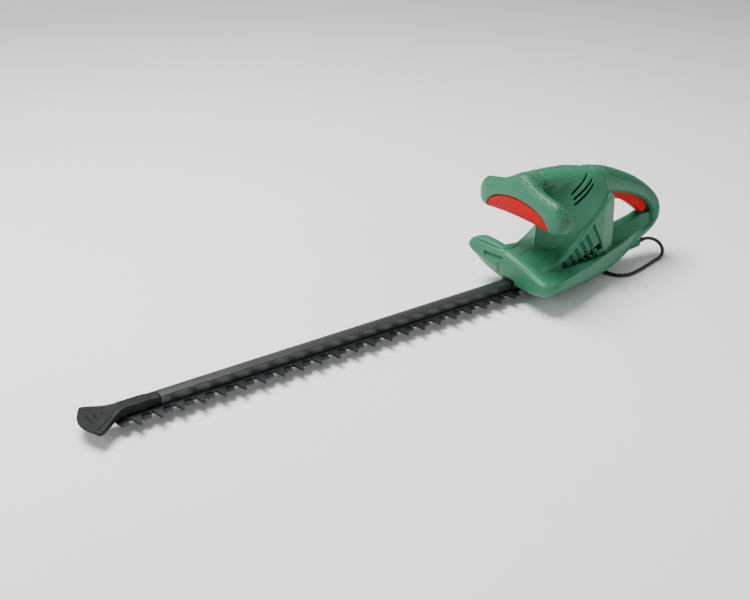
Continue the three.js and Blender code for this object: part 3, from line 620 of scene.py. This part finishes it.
# ------------------------ mains lead
def make_cord(plug):
    curve = bpy.data.curves.new("mains_lead", "CURVE")
    curve.dimensions = "3D"
    curve.resolution_u = 8
    curve.bevel_depth = 1.0
    curve.bevel_resolution = 5
    curve.use_fill_caps = True
    line = curve.splines.new("BEZIER")
    points = place(CORD_ROUTE)
    line.bezier_points.add(len(points) - 1)
    for i, (bezier, point) in enumerate(zip(line.bezier_points, points)):
        before = points[max(i - 1, 0)]
        after = points[min(i + 1, len(points) - 1)]
        tangent = (after - before) / np.linalg.norm(after - before)
        bezier.co = point
        bezier.radius = CORD_RADIUS * MM
        bezier.handle_left = point - tangent * np.linalg.norm(point - before) / 3
        bezier.handle_right = point + tangent * np.linalg.norm(after - point) / 3
    obj = bpy.data.objects.new("mains_lead", curve)
    bpy.context.scene.collection.objects.link(obj)
    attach(obj, "machine")
    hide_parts("mains_cord")
    obj.data.materials.append(MATERIALS["cord_rubber"])


def lathe_along_x(name, profile, segments=40):
    """Turned piece about a line along X through (y, z) = (0, EXIT z): profile of (x, radius)."""
    bm = bmesh.new()
    rings = []
    for x, radius in profile:
        ring = []
        for i in range(segments):
            a = 2 * math.pi * i / segments
            ring.append(bm.verts.new(place((x, radius * math.cos(a), EXIT[2] + radius * math.sin(a)))))
        rings.append(ring)
    for a, b in zip(rings, rings[1:]):
        for i in range(segments):
            j = (i + 1) % segments
            bm.faces.new((a[i], a[j], b[j], b[i]))
    bm.faces.new(rings[0][::-1])
    bm.faces.new(rings[-1])
    bmesh.ops.recalc_face_normals(bm, faces=bm.faces)
    mesh = bpy.data.meshes.new(name)
    bm.to_mesh(mesh)
    bm.free()
    for polygon in mesh.polygons:
        polygon.use_smooth = len(polygon.vertices) == 4
    return new_object(name, mesh)


def make_strain_relief():
    low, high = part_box("strain_relief")
    x0 = low.x / MM + MIDDLE_X
    x1 = high.x / MM + MIDDLE_X
    profile = [(x0, 5.0), (x0 + 0.6, 5.6), (764, 5.6)]
    ribs = 7
    start, end = 766.0, x1 - 2.5
    for i in range(ribs):
        a = start + (end - start) * i / ribs
        width = (end - start) / ribs
        outer = 5.6 + (3.15 - 5.6) * (a - 764) / (x1 - 764)
        profile += [(a, outer), (a + width * 0.55, outer - 0.1), (a + width * 0.62, outer - 0.9),
                    (a + width * 0.92, outer - 1.0)]
    profile += [(end, 3.1), (x1 - 0.4, 3.0), (x1, 2.75)]
    stand_in(lathe_along_x("strain_relief_sleeve", profile), "strain_relief")


# ------------------------ front handle
CROSSBAR = [
    (0, 541, 579, 98, 159), (16, 541, 579, 98, 153.5), (34, 541.5, 578, 97.5, 145),
    (55, 542, 577, 96, 140), (68, 543.5, 575, 96.5, 137), (76, 547, 570, 100, 129.5),
    (80, 551, 564.5, 106, 121.5), (81.5, 555, 560, 112, 116),
]
CROSSBAR_SECTION = [
    (1, 0.34), (0.97, 0.2), (0.88, 0.07), (0.7, 0.01), (0.48, 0), (0.26, 0.02), (0.1, 0.1), (0.02, 0.26),
    (0, 0.5), (0.01, 0.7), (0.07, 0.86), (0.18, 0.96), (0.33, 1), (0.5, 0.94), (0.67, 0.83),
    (0.82, 0.67), (0.94, 0.51),
]
LEVER_ARCH = [
    (-57.5, 88), (-58, 102), (-56, 108), (-52, 113), (-46, 117.5), (-37, 121.5), (-27, 124.5), (-14, 127),
    (0, 127.8), (14, 127), (27, 124.5), (37, 121.5), (46, 117.5), (52, 113), (56, 108), (58, 102), (57.5, 88),
]


def crossbar_field(grid):
    stations = [(-y, *rest) for y, *rest in reversed(CROSSBAR[1:])] + CROSSBAR
    rings = []
    for y, front, back, low, top in stations:
        rings.append([(front + u * (back - front), y, low + v * (top - low)) for u, v in CROSSBAR_SECTION])
    return grid.of_mesh(*loft(rings, 3, 5))


# ------------------------ housing
HULL = [
    (548.5, [(0, 5), (24, 5), (40, 7), (56, 11), (70, 17), (76, 23), (74, 29), (67, 32), (0, 32)]),
    (562, [(0, -4), (22, -4), (40, 1), (55, 7), (68, 14), (74, 21), (72, 28), (66, 31), (0, 31)]),
    (582, [(0, -14), (20, -14), (38, -6), (52, 3), (63, 11), (68, 17), (67, 27), (62, 30.5), (0, 30.5)]),
    (610, [(0, -14), (21, -14), (38, -6), (49, 2), (57, 9), (61, 15), (60, 27), (56, 31), (0, 31)]),
    (640, [(0, -14), (21, -14), (36, -6), (44, 1), (50, 7), (54, 13), (53, 27), (49, 31.5), (0, 32)]),
    (672, [(0, -14), (19, -14), (30, -7), (37, -1), (42, 5), (45, 11), (44, 28), (40, 33), (0, 34)]),
    (698, [(0, -7), (15, -7), (25, -4), (31, 1), (35, 6), (38, 12), (37, 29), (34, 34), (0, 36)]),
    (722, [(0, -3), (13, -3), (20, 0), (25, 4), (28, 8), (30, 13), (30, 29), (27, 34), (0, 37)]),
    (750, [(0, 3), (8, 3), (13, 5), (17, 9), (19, 12), (20, 17), (20, 29), (18, 34), (0, 36)]),
]
CASING = [
    (581, 0.6, 134, 146), (583, 3.5, 138, 148), (590, 10.5, 146, 152), (600, 19, 147, 154.5),
    (612, 28, 147, 155.5), (625, 34.5, 145.5, 155), (640, 38, 143, 152.5), (655, 38, 139, 149.5),
    (668, 37, 134, 146), (680, 33, 130, 142), (688, 26, 125, 137), (694, 17, 117, 127),
]
CASING_WALL = [
    (1, 10), (1, 35), (1, 60), (1, 85), (0.99, 97), (0.95, 108), (0.89, 119), (0.8, 128),
]
NECK = [
    (560, 17, 137, 150.5, 159.5), (572, 18, 137, 150.5, 159.5), (586, 19.5, 136, 149.5, 158.5),
    (604, 22, 131, 148, 157.3), (626, 23, 122, 145, 155),
]
LOOP = [
    (672, 148, 676, 106), (702, 141, 698, 104), (728, 131, 719, 100), (754, 119, 742, 94),
    (778, 104, 763, 85), (794, 91, 778, 76), (803.5, 81, 787, 67), (809, 71, 792, 60), (812, 60, 793, 52),
    (811, 48, 790, 45), (804, 36, 781, 40), (788, 24.5, 766, 38), (768, 14, 750, 37), (750, 6, 734, 37),
    (728, 0, 718, 38), (708, -3, 700, 40), (692, -3, 684, 44),
]
LOOP_HALF = 18.0
HEEL = [
    (690, 9, 46, 31, 32, 24, 0), (710, 8.5, 46.5, 27, 32, 20, 2), (730, 8, 48, 23, 32.5, 15, 6),
    (750, 8, 50.5, 19.5, 34, 12, 12), (770, 8, 54, 16.5, 36, 10, 20), (782, 8, 60, 15, 38, 9, 28),
    (792, 8, 68, 14, 40, 9, 36),
]
ROOF = [
    (549, [(0, 12), (42, 12), (42, 22), (40, 27), (34, 32), (20, 39.5), (0, 44)]),
    (575, [(0, 12), (40, 12), (40, 29), (38.5, 33.5), (33, 38), (20, 45.5), (0, 50)]),
    (600, [(0, 12), (39, 12), (39, 40), (37.5, 44.5), (33, 47.5), (20, 51), (0, 52.5)]),
    (613, [(0, 12), (39, 12), (39, 49), (37.5, 53), (33, 55), (20, 55), (0, 55)]),
    (626, [(0, 12), (39, 12), (39, 60), (38, 65), (33, 67), (20, 67), (0, 67)]),
]
# Louvred part of the side: the outline that stands out from the casing, as (x, z).
VENT_OUTER = [
    (551, 14), (551, 29), (562, 33), (580, 40), (598, 49), (614, 59.5), (626, 70.5), (637, 82), (650, 93),
    (660, 100.5), (674, 109), (686, 115), (694, 110), (697, 84), (700, 50), (700, 14),
]
VENT_HALF = 41.5
VENT_ROUNDING = 3.5
# Head and foot of each louvre as (x, z). The first and the last bound the window.
FINS = [
    ((591, 37), (603, 19)), ((599.5, 41), (619, 17)), ((610.5, 49), (632, 20)), ((619.5, 56), (644, 23)),
    ((628.5, 64), (655, 26)), ((638, 72.5), (666, 28)), ((648, 82), (677, 32)),
]
FIN_HALF = 0.8  # half of a fin's thickness
FIN_DEPTH = 5.4  # from the vent's face to the wall behind the louvres
FIN_LEAN = 0.85  # the fins lean towards the blade as they go in
BACK_WALL = 2.8  # thickness of the wall behind the louvres
AIR_BAND = (0.66, 0.86)  # part of each louvre gap, from its head to its foot, that is open
FIN_CUTS = ((44.5, 47.8), (36.8, 40.5))  # z between which the fins are notched
SLIT_LEAN = 0.8  # the slits are cut inwards and down at this slope
SLIT_SIDE = 24.0  # where z is as given below
SLIT_WIDTH = 2.8
UPPER_SLITS = [
    [(616, 125), (624, 131), (633, 136.7), (641, 143), (648, 148.7)],
    [(618.5, 116.1), (627, 121), (636, 126.5), (645, 132.7), (653, 139)],
    [(619.5, 107.7), (628, 112.5), (636, 117.5), (644, 123.8), (652.5, 130.8)],
]
REAR_SLITS = [((734, 12), (748, 22)), ((744, 10), (757, 20)), ((725, 9), (738, 19))]
GROOVE_WIDTH = 2.2
GROOVE_DEPTH = 2.2
SWITCH_TUNNEL = [
    (680, 132), (680, 108), (706, 106), (726, 104), (752, 97), (776, 86), (790, 72), (799, 68), (799, 76),
    (785, 88), (762, 104), (744, 114), (724, 124),
]
TRIGGER_SLOT = [
    (696, 90), (696, 109.5), (752, 103), (776, 92), (797, 77), (797, 56), (772, 57), (736, 80),
]
CHAMBER = [
    (554, -11), (672, -11), (689, 10), (689, 118), (676, 134), (606, 134), (599, 60), (598, 49),
    (572, 42), (554, 38),
]
# x, z and the head's y of each screw; the cover's x from, x to and half-width; the blade's doorway.
HOUSING_SCREWS = [(558, 27, 22), (684, 116, 14), (718, 30, 12), (803, 52, 10), (606, 135, 14)]
COVER = (596, 664, 15)
BLADE_DOOR = (540, 570, 32, -5, 18)
TUNNEL_HALF, SLOT_HALF = 9.0, 8.6  # half-widths of the switch tunnel and the trigger's slot
LEAD_HOLE, HEAD_HOLE, SCREW_HOLE = 6.2, 4.1, 2.3  # radii
HEAD_DEPTH = 3.2


def overlap(field, *others):
    """Field of what lies inside all the fields given."""
    for other in others:
        field = np.maximum(field, other)
    return field


def box_distance(grid, x0, x1, y0, y1, z0, z1):
    along_x = np.abs(grid.x - (x0 + x1) / 2) - (x1 - x0) / 2
    along_y = np.abs(grid.y - (y0 + y1) / 2) - (y1 - y0) / 2
    along_z = np.abs(grid.z - (z0 + z1) / 2) - (z1 - z0) / 2
    return overlap(along_x, along_y, along_z)


def casing_ring(x, half, crease, top):
    """Section of the motor casing: upright wall, a shoulder that leans in to a crease, and a low crown."""
    reach = (crease - 8 - 85) / (128 - 85)
    wall = [(half * part, z if z <= 85 else 85 + (z - 85) * reach) for part, z in CASING_WALL]
    crown = [(0.66, crease), (0.55, crease + (top - crease) * 0.4), (0.34, top - 1.6), (0, top)]
    return mirrored_ring(x, [(0, 10)] + wall + [(half * part, z) for part, z in crown])


def housing_outside(grid):
    """The green body without openings: motor casing, hull, roof, vent frame, neck and rear loop."""
    side = np.abs(grid.y)
    hull = grid.of_mesh(*loft([mirrored_ring(x, half) for x, half in HULL], 3, 6))
    casing = grid.of_mesh(*loft([casing_ring(*row) for row in CASING], 3, 5))
    neck = grid.of_mesh(*loft([
        mirrored_ring(x, [(0, low), (half * 0.6, low + 1), (half * 0.8, low + 5), (half * 0.93, crease - 4),
                          (half, crease), (half * 0.82, crease + (top - crease) * 0.42),
                          (half * 0.45, top - 1.4), (0, top)])
        for x, half, low, crease, top in NECK], 3, 5))
    handle = grid.of_mesh(*loft([
        super_ring(((xo + xi) / 2, 0, (zo + zi) / 2), ((xo - xi) / 2, 0, (zo - zi) / 2), (0, LOOP_HALF, 0))
        for xo, zo, xi, zi in LOOP], 1, 6))
    roof = grid.of_mesh(*loft([mirrored_ring(x, half) for x, half in ROOF], 3, 6))
    crest = polygon_distance(grid.x, grid.z, VENT_OUTER)
    taper = np.interp(grid.x, [640, 668, 700], [0, 1.5, 12])
    vent = common(grid.full(crest), side - VENT_HALF + taper, VENT_ROUNDING)
    boss = np.maximum(np.hypot(grid.y, grid.z - EXIT[2]) - np.interp(grid.x, [740, 786], [10.5, 8.2]),
                      np.abs(grid.x - 762) - 23.5)
    body = join(hull, roof, 1.5)
    body = join(body, vent, 1.5)
    body = fillet(body, casing, 2.5, grid.step)
    body = fillet(body, neck, 8, grid.step)
    body = fillet(body, handle, 8, grid.step)
    heel = grid.of_mesh(*loft([
        mirrored_ring(x, [(0, low), (foot, low), (rim, rim_z - 9), (rim, rim_z), (top, top_z),
                          (0, top_z + 0.6)])
        for x, top, top_z, rim, rim_z, foot, low in HEEL], 1, 5))
    body = fillet(body, heel, 2.5, grid.step)
    body = join(body, boss, 4)
    body = np.maximum(body, FLOOR_Z - grid.z)
    return body, hull


TROUGH_FLOOR = ([555, 600, 665], [25, 20, 26])  # x, z
TROUGH_REACH = (612, 60)  # middle and half-length
RIM_WIDTH = 3.6


def rim_trough(grid, hull):
    """Gutter between the vent wall and the rim of the hull."""
    side = np.abs(grid.y)
    floor = np.interp(grid.x, *TROUGH_FLOOR)
    middle, reach = TROUGH_REACH
    return overlap(hull + RIM_WIDTH, VENT_HALF - side, floor - grid.z, np.abs(grid.x - middle) - reach)


def housing_openings(grid, body):
    side = np.abs(grid.y)
    front, back = FINS[0], FINS[-1]
    window = [front[0]] + [head for head, _ in FINS[1:]] + [back[1]] + [foot for _, foot in FINS[-2::-1]]
    window = polygon_distance(grid.x, grid.z, window)
    body = cut(body, overlap(window, VENT_HALF - FIN_DEPTH - side, side - VENT_HALF - 0.6), 0.4)
    heads, feet = np.array(FINS)[:, 0], np.array(FINS)[:, 1]
    band = [heads + (feet - heads) * part for part in AIR_BAND]
    air = polygon_distance(grid.x, grid.z, [tuple(p) for p in band[0]] + [tuple(p) for p in band[1][::-1]])
    body = cut(body, overlap(air + 1.0, 28 - side, side - VENT_HALF))
    for line in UPPER_SLITS:
        level = grid.z - SLIT_LEAN * (side - SLIT_SIDE)
        body = cut(body, overlap(polyline_distance(grid.x, level, line, SLIT_WIDTH), 10 - side))
    for start, end in REAR_SLITS:
        groove = bar_distance(grid.x, grid.z, start, end, GROOVE_WIDTH)
        body = cut(body, overlap(groove, -(body + GROOVE_DEPTH), 8 - side))
    tunnel = overlap(polygon_distance(grid.x, grid.z, SWITCH_TUNNEL), side - TUNNEL_HALF)
    trigger = overlap(polygon_distance(grid.x, grid.z, TRIGGER_SLOT), side - SLOT_HALF)
    body = cut(cut(body, tunnel), trigger, 0.8)
    lead = np.hypot(grid.y, grid.z - EXIT[2]) - LEAD_HOLE
    body = cut(body, overlap(lead, 680 - grid.x, grid.x - 820))
    x0, x1, half, z0, z1 = BLADE_DOOR
    body = cut(body, box_distance(grid, x0, x1, -half, half, z0, z1))
    c0, c1, c_half = COVER
    body = cut(body, box_distance(grid, c0 - 0.3, c1 + 0.3, -c_half - 0.3, c_half + 0.3, -18, -10.7))
    for x, z, head in HOUSING_SCREWS:
        round_hole = np.hypot(grid.x - x, grid.z - z)
        body = cut(body, overlap(round_hole - HEAD_HOLE, head - HEAD_DEPTH - grid.y))
        body = cut(body, overlap(round_hole - SCREW_HOLE, -11 - grid.y))
    return body


def prism(bm, outline, y0, y1, lean=0.0, upright=0.0):
    """Adds a block to bm: an outline of (x, z) points between two values of y.

    It leans towards the blade by lean millimetres a millimetre of depth inwards from upright."""
    ends = []
    for y in (y0, y1):
        shift = lean * (upright - abs(y))
        ends.append([bm.verts.new(place((x - shift, y, z))) for x, z in outline])
    bm.faces.new(ends[0])
    bm.faces.new(ends[1][::-1])
    for i in range(len(outline)):
        j = (i + 1) % len(outline)
        bm.faces.new((ends[0][j], ends[0][i], ends[1][i], ends[1][j]))


def make_fins(node, side):
    """Louvre fins of one housing half: thin slats with up to two notches in the outer edge."""
    bm = bmesh.new()
    outer, middle, inner = (side * (VENT_HALF - depth) for depth in (0.5, 3.0, FIN_DEPTH))
    for (x0, z0), (x1, z1) in FINS[1:-1]:
        length = math.hypot(x1 - x0, z1 - z0)
        along = ((x1 - x0) / length, (z1 - z0) / length)
        across = (along[1] * FIN_HALF, -along[0] * FIN_HALF)

        def strip(high, low):
            xa, za = x0 + along[0] * (high - z0) / along[1], high
            xb, zb = x0 + along[0] * (low - z0) / along[1], low
            return [(xa - across[0], za - across[1]), (xa + across[0], za + across[1]),
                    (xb + across[0], zb + across[1]), (xb - across[0], zb - across[1])]

        top, bottom = z0 + 1.5, z1 - 1.5
        prism(bm, strip(top, bottom), inner, middle, FIN_LEAN, VENT_HALF)
        high = top
        for low_cut, high_cut in FIN_CUTS:
            if high > high_cut:
                prism(bm, strip(high, high_cut), middle, outer, FIN_LEAN, VENT_HALF)
                high = low_cut
        prism(bm, strip(high, bottom), middle, outer, FIN_LEAN, VENT_HALF)
    bmesh.ops.recalc_face_normals(bm, faces=bm.faces)
    mesh = bpy.data.meshes.new(node + "_fins")
    bm.to_mesh(mesh)
    bm.free()
    obj = stand_in(new_object(node + "_fins", mesh), node)
    modifier = obj.modifiers.new("edges", "BEVEL")
    modifier.width = 0.3 * MM
    modifier.segments = 2
    modifier.limit_method = "ANGLE"


def housing_hollow(grid, outside):
    """Room for the drive and the motor: a shell's thickness inside the outer surface."""
    side = np.abs(grid.y)
    rim = overlap(38 - side, 15 - grid.z, np.abs(grid.x - 613) - 62)
    back_wall = overlap(VENT_HALF - FIN_DEPTH - BACK_WALL - side, 12 - grid.z)
    return overlap(outside + SHELL, polygon_distance(grid.x, grid.z, CHAMBER), -rim, -back_wall)


GRIP_ZONE = [
    (684, 160), (684, 147), (704, 122), (736, 114), (766, 98), (792, 72), (799, 60), (830, 60), (830, 160),
]
GRIP_FRONT_X = 545.0


def rear_grip_zone(x, y, z):
    return -polygon_distance(x, z, GRIP_ZONE) - 1.0


def front_grip_zone(x, y, z):
    """The top and back of the front handle and its ends; its front face is smooth."""
    return (x - GRIP_FRONT_X) / 1.5 * (x < HANDLE_BACK_X - 1)


def make_body():
    grid = Grid((520, -86, -17), (818, 86, 168), BODY_STEP)
    outside, hull = housing_outside(grid)
    bar = crossbar_field(grid)
    whole = cut(fillet(outside, bar, 11, grid.step), rim_trough(grid, hull), 1.0)
    body = cut(whole, housing_hollow(grid, whole))
    body = housing_openings(grid, body)
    handle_zone = np.maximum(grid.x - HANDLE_BACK_X, 92 - grid.z)
    housing = np.maximum(body, -(handle_zone - 2 * SEAM))
    soften(housing, 1)
    seam = grid.full(polygon_distance(grid.x, grid.z, GRIP_ZONE))
    housing = cut(housing, np.maximum(np.abs(seam) - 0.5, -(whole + 0.8)))
    for name, node, half in (("housing_shell_left", "housing_left", -grid.y),
                             ("housing_shell_right", "housing_right", grid.y)):
        stand_in(object_of_field(name, grid, np.maximum(housing, half + SEAM), rear_grip_zone), node)

    arch = grid.full(polygon_distance(grid.y, grid.z, LEVER_ARCH))
    room = np.maximum(arch - 0.5, grid.x - (LEVER_BACK_X + LEVER_TRAVEL + 0.8))
    handle = overlap(whole, handle_zone, -overlap(whole + SHELL, np.abs(grid.y) - 74), -room)
    soften(handle, 1)
    front = np.maximum(handle, grid.x - (HANDLE_SPLIT_X - SEAM))
    back = np.maximum(handle, HANDLE_SPLIT_X + SEAM - grid.x)
    stand_in(object_of_field("front_handle_front", grid, front, front_grip_zone), "front_handle_shell")
    stand_in(object_of_field("front_handle_back", grid, back, front_grip_zone), "front_handle_grip")

    lever = overlap(bar + 0.5, arch + 0.1, grid.x - LEVER_BACK_X)
    lever = overlap(lever, -overlap(bar + 4.0, np.abs(grid.y) - 52))
    soften(lever, 1)
    stand_in(object_of_field("switch_bar_cover", grid, lever), "front_switch_bar")


# ------------------------ hand guard
# Guard stations from right to left: y, front x, back x, low z, z of the chin, z of the crease, top z.
GUARD = [
    (-77.5, 543, 547.5, 23, 25, 27, 29), (-76, 538, 548, 19, 21.5, 27.5, 31), (-72, 534, 548, 17, 20, 29, 33),
    (-66, 532, 548, 14.5, 18, 31, 35), (-54, 531, 548, 11, 16, 35, 38.5),
    (-40, 531, 548, 7.5, 14.5, 39.5, 42.5), (-24, 531, 548, 5.5, 13.5, 43.5, 47),
    (-8, 531, 548, 5, 14, 46.5, 51), (8, 531, 548, 5, 17, 48, 54),
    (22, 531, 548, 5.5, 23, 48.5, 56.5), (38, 530.5, 548, 7.5, 28, 47.5, 57.5),
    (52, 530, 548, 11, 30.5, 46.5, 57.5), (62, 529.5, 548, 14.5, 32.5, 46, 56),
    (71, 529.5, 547, 21, 35, 45.5, 52.5), (77, 531, 544, 30, 38, 44, 48), (79.5, 534, 540, 37, 40, 42.5, 44),
]
GUARD_GROOVE = ((54, 52.5), (6, 53), 2.6)
GUARD_PARTING = ((80, 43), (44, 42), 0.9)
GUARD_POCKET = [(44.5, 42.5), (5, 45.5), (8, 42), (18, 37), (42, 34.5)]
GUARD_ARCH = [(17, 0), (17, 34), (11, 38.5), (-8, 41), (-20, 38), (-29, 33), (-38, 26), (-39, 0)]


def make_guard():
    grid = Grid((525, -84, 0), (552, 84, 64), DETAIL_STEP)
    rings = []
    for y, front, back, low, chin, crease, top in GUARD:
        section = [(back - 1, low), (front + 6, chin - 4.5), (front + 1.5, chin),
                   (front, (chin + crease) / 2), (front, crease), (front + 3, top - 1.6),
                   (front + 8, top), (back, top - 2), (back, (low + top) / 2)]
        rings.append([(x, y, z) for x, z in section])
    wall = grid.of_mesh(*loft(rings, 3, 5), band=8)
    start, end, width = GUARD_GROOVE
    groove = grid.full(bar_distance(grid.y, grid.z, start, end, width))
    wall = cut(wall, np.maximum(groove, -(wall + 1.5)), 0.6)
    start, end, width = GUARD_PARTING
    parting = grid.full(bar_distance(grid.y, grid.z, start, end, width))
    wall = cut(wall, np.maximum(parting, -(wall + 1.0)))
    pocket = polygon_distance(grid.y, grid.z, GUARD_POCKET)
    depth = np.interp(grid.z, [34, 45], [530.5, 535.5])
    wall = cut(wall, np.maximum(pocket, grid.x - depth), 0.5)
    arch = polygon_distance(grid.y, grid.z, GUARD_ARCH)
    wall = cut(wall, np.maximum(arch, -(wall + 1.2)), 1.0)
    wall = cut(wall, box_distance(grid, 520, 560, -15, 15, -10, 18.5), 0.6)
    soften(wall, 1)
    stand_in(object_of_field("guard_wall", grid, wall), "hand_guard")


# ------------------------ rear trigger
TRIGGER_OUTLINE = [
    (698, 101), (706, 95.5), (728, 89.5), (746, 81), (761, 71), (773, 62.5), (780, 58.5), (786, 60),
    (788, 65), (783, 76), (766, 89), (744, 98), (720, 104), (706, 107), (699, 106),
]


def make_trigger():
    grid = Grid((694, -10, 54), (792, 10, 110), DETAIL_STEP)
    outline = spline(TRIGGER_OUTLINE, 3, closed=True)
    shape = polygon_distance(grid.x, grid.z, outline)
    body = common(shape + 0.1, np.abs(grid.y) - 8, 3.0)
    body = cut(body, np.hypot(grid.x - 702, grid.z - 103.5) - 2.3)
    soften(body, 1)
    stand_in(object_of_field("trigger_lever", grid, grid.full(body)), "rear_trigger")


# ------------------------ tip guard
RAIL_SECTION = [
    (-8, 2.5), (8, 2.5), (8, 12), (7.3, 12.7), (3.5, 13.2), (0, 13.6), (-3.5, 13.2), (-7.3, 12.7), (-8, 12),
]
TIP_EDGE = [
    (20, 7), (-6, 8), (-14, 10), (-24, 16), (-34, 24.5), (-42, 30.5), (-46, 30.5), (-50, 23), (-55, 12),
]
TIP_PROFILE = [
    (20, 2.5), (20, 13), (-8, 13.4), (-14, 12.6), (-26, 9.8), (-42, 7.4), (-58, 6.4), (-58, 3.4), (-40, 2.8),
    (-10, 2.5),
]
TIP_ARCS = (26.0, 34.0, 42.0)  # radii of the raised arcs on the fan


def make_tip_guard():
    grid = Grid((-60, -33, 0), (36, 33, 16), DETAIL_STEP)
    sleeve = np.maximum(polygon_distance(grid.y, grid.z, RAIL_SECTION), np.abs(grid.x - 11.5) - 21.5)
    plan = [(x, -y) for x, y in TIP_EDGE] + [(-57, 0)] + list(reversed(TIP_EDGE))
    plan = spline(plan, 3, closed=True)
    skin = polygon_distance(grid.x, grid.z, TIP_PROFILE)
    fan = common(polygon_distance(grid.x, grid.y, plan) + 0.2, skin, 1.2)
    for bend in (-1, 1):
        rib = polyline_distance(grid.x, grid.y, [(6, bend * 4.5), (-12, bend * 6), (-26, bend * 11),
                                                 (-38, bend * 18.5), (-46, bend * 24)], 2.2)
        crest = grid.z - np.interp(grid.x, [-46, -26, -10, 6], [8.2, 11.0, 13.4, 13.5])
        fan = join(fan, overlap(rib, crest, 4 - grid.z), 0.8)
    for radius in TIP_ARCS:
        arc = np.abs(np.hypot(grid.x + 4, grid.y) - radius) - 0.8
        fan = join(fan, overlap(arc, skin - 1.1, np.abs(grid.y) + (grid.x + 22) * 0.45), 0.7)
    body = join(sleeve, fan, 2.5)
    body = cut(body, box_distance(grid, 11.5, 40, -4.3, 4.3, 3.7, 10.3))
    body = cut(body, np.maximum(np.hypot(grid.x - 21, grid.y) - 2.7, grid.z - 12.2))
    body = overlap(body, grid.x - 33, 2.5 - grid.z)
    soften(body, 1)
    shield = stand_in(object_of_field("tip_shield", grid, grid.full(body)), "tip_guard")
    finish_as(shield, "tip_black")


# ------------------------ plug
def make_plug():
    """Two-pin plug whose body tapers to the pins, with finger grooves on its flanks."""
    low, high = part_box("plug_body")
    bottom = np.array(low) / MM + (MIDDLE_X, 0, FLOOR_Z)
    top = np.array(high) / MM + (MIDDLE_X, 0, FLOOR_Z)
    grid = Grid(bottom - 2, top + 2, DETAIL_STEP)
    x1 = top[0]
    middle = (bottom[1] + top[1]) / 2
    half = [(0, 4), (-10, 5), (-14, 12), (-34, 17), (-38, 14)]
    plan = [(x1 + x, middle + y) for x, y in half] + [(x1 + x, middle - y) for x, y in reversed(half)]
    shape = polygon_distance(grid.x, grid.y, spline(plan, 4, closed=True)) + 0.8
    body = common(shape, np.abs(grid.z - (bottom[2] + top[2]) / 2) - (top[2] - bottom[2]) / 2 + 0.1, 5.0)
    for i in range(4):
        x = x1 - 16.5 - 3.6 * i
        groove = overlap(np.abs(grid.x - x) - 0.8, -(body + 1.2), 9 - np.abs(grid.y - middle))
        body = cut(body, groove, 0.4)
    body = np.maximum(body, grid.x - x1)
    soften(body, 1)
    return stand_in(object_of_field("plug_shell", grid, grid.full(body)), "plug_body")


# ------------------------ floor
def make_floor():
    bm = bmesh.new()
    half, back, height, radius, steps = 4.0, 3.2, 3.0, 1.0, 14
    profile = [(-half, 0.0), (back - radius, 0.0)]
    for i in range(1, steps + 1):
        a = math.pi / 2 * i / steps
        profile.append((back - radius + radius * math.sin(a), radius - radius * math.cos(a)))
    profile.append((back, height))
    rows = []
    for y, z in profile:
        rows.append([bm.verts.new((x, y, z)) for x in (-half, half)])
    for a, b in zip(rows, rows[1:]):
        bm.faces.new((a[0], a[1], b[1], b[0]))
    mesh = bpy.data.meshes.new("floor")
    bm.to_mesh(mesh)
    bm.free()
    for polygon in mesh.polygons:
        polygon.use_smooth = True
    floor = new_object("floor", mesh)
    n = Nodes("pale_floor")
    cloud = n.noise(1.5, 2)
    shade = n.ramp(cloud, [(0.3, (0.86, 0.86, 0.86)), (0.7, (0.90, 0.90, 0.90))])
    n.link(shade, n.shader.inputs["Base Color"])
    n.shader.inputs["Roughness"].default_value = 0.8
    floor.data.materials.append(n.material)


dress_cad_nodes()
make_cord(make_plug())
make_strain_relief()
make_body()
make_fins("housing_left", 1)
make_fins("housing_right", -1)
make_guard()
make_trigger()
make_tip_guard()
make_floor()
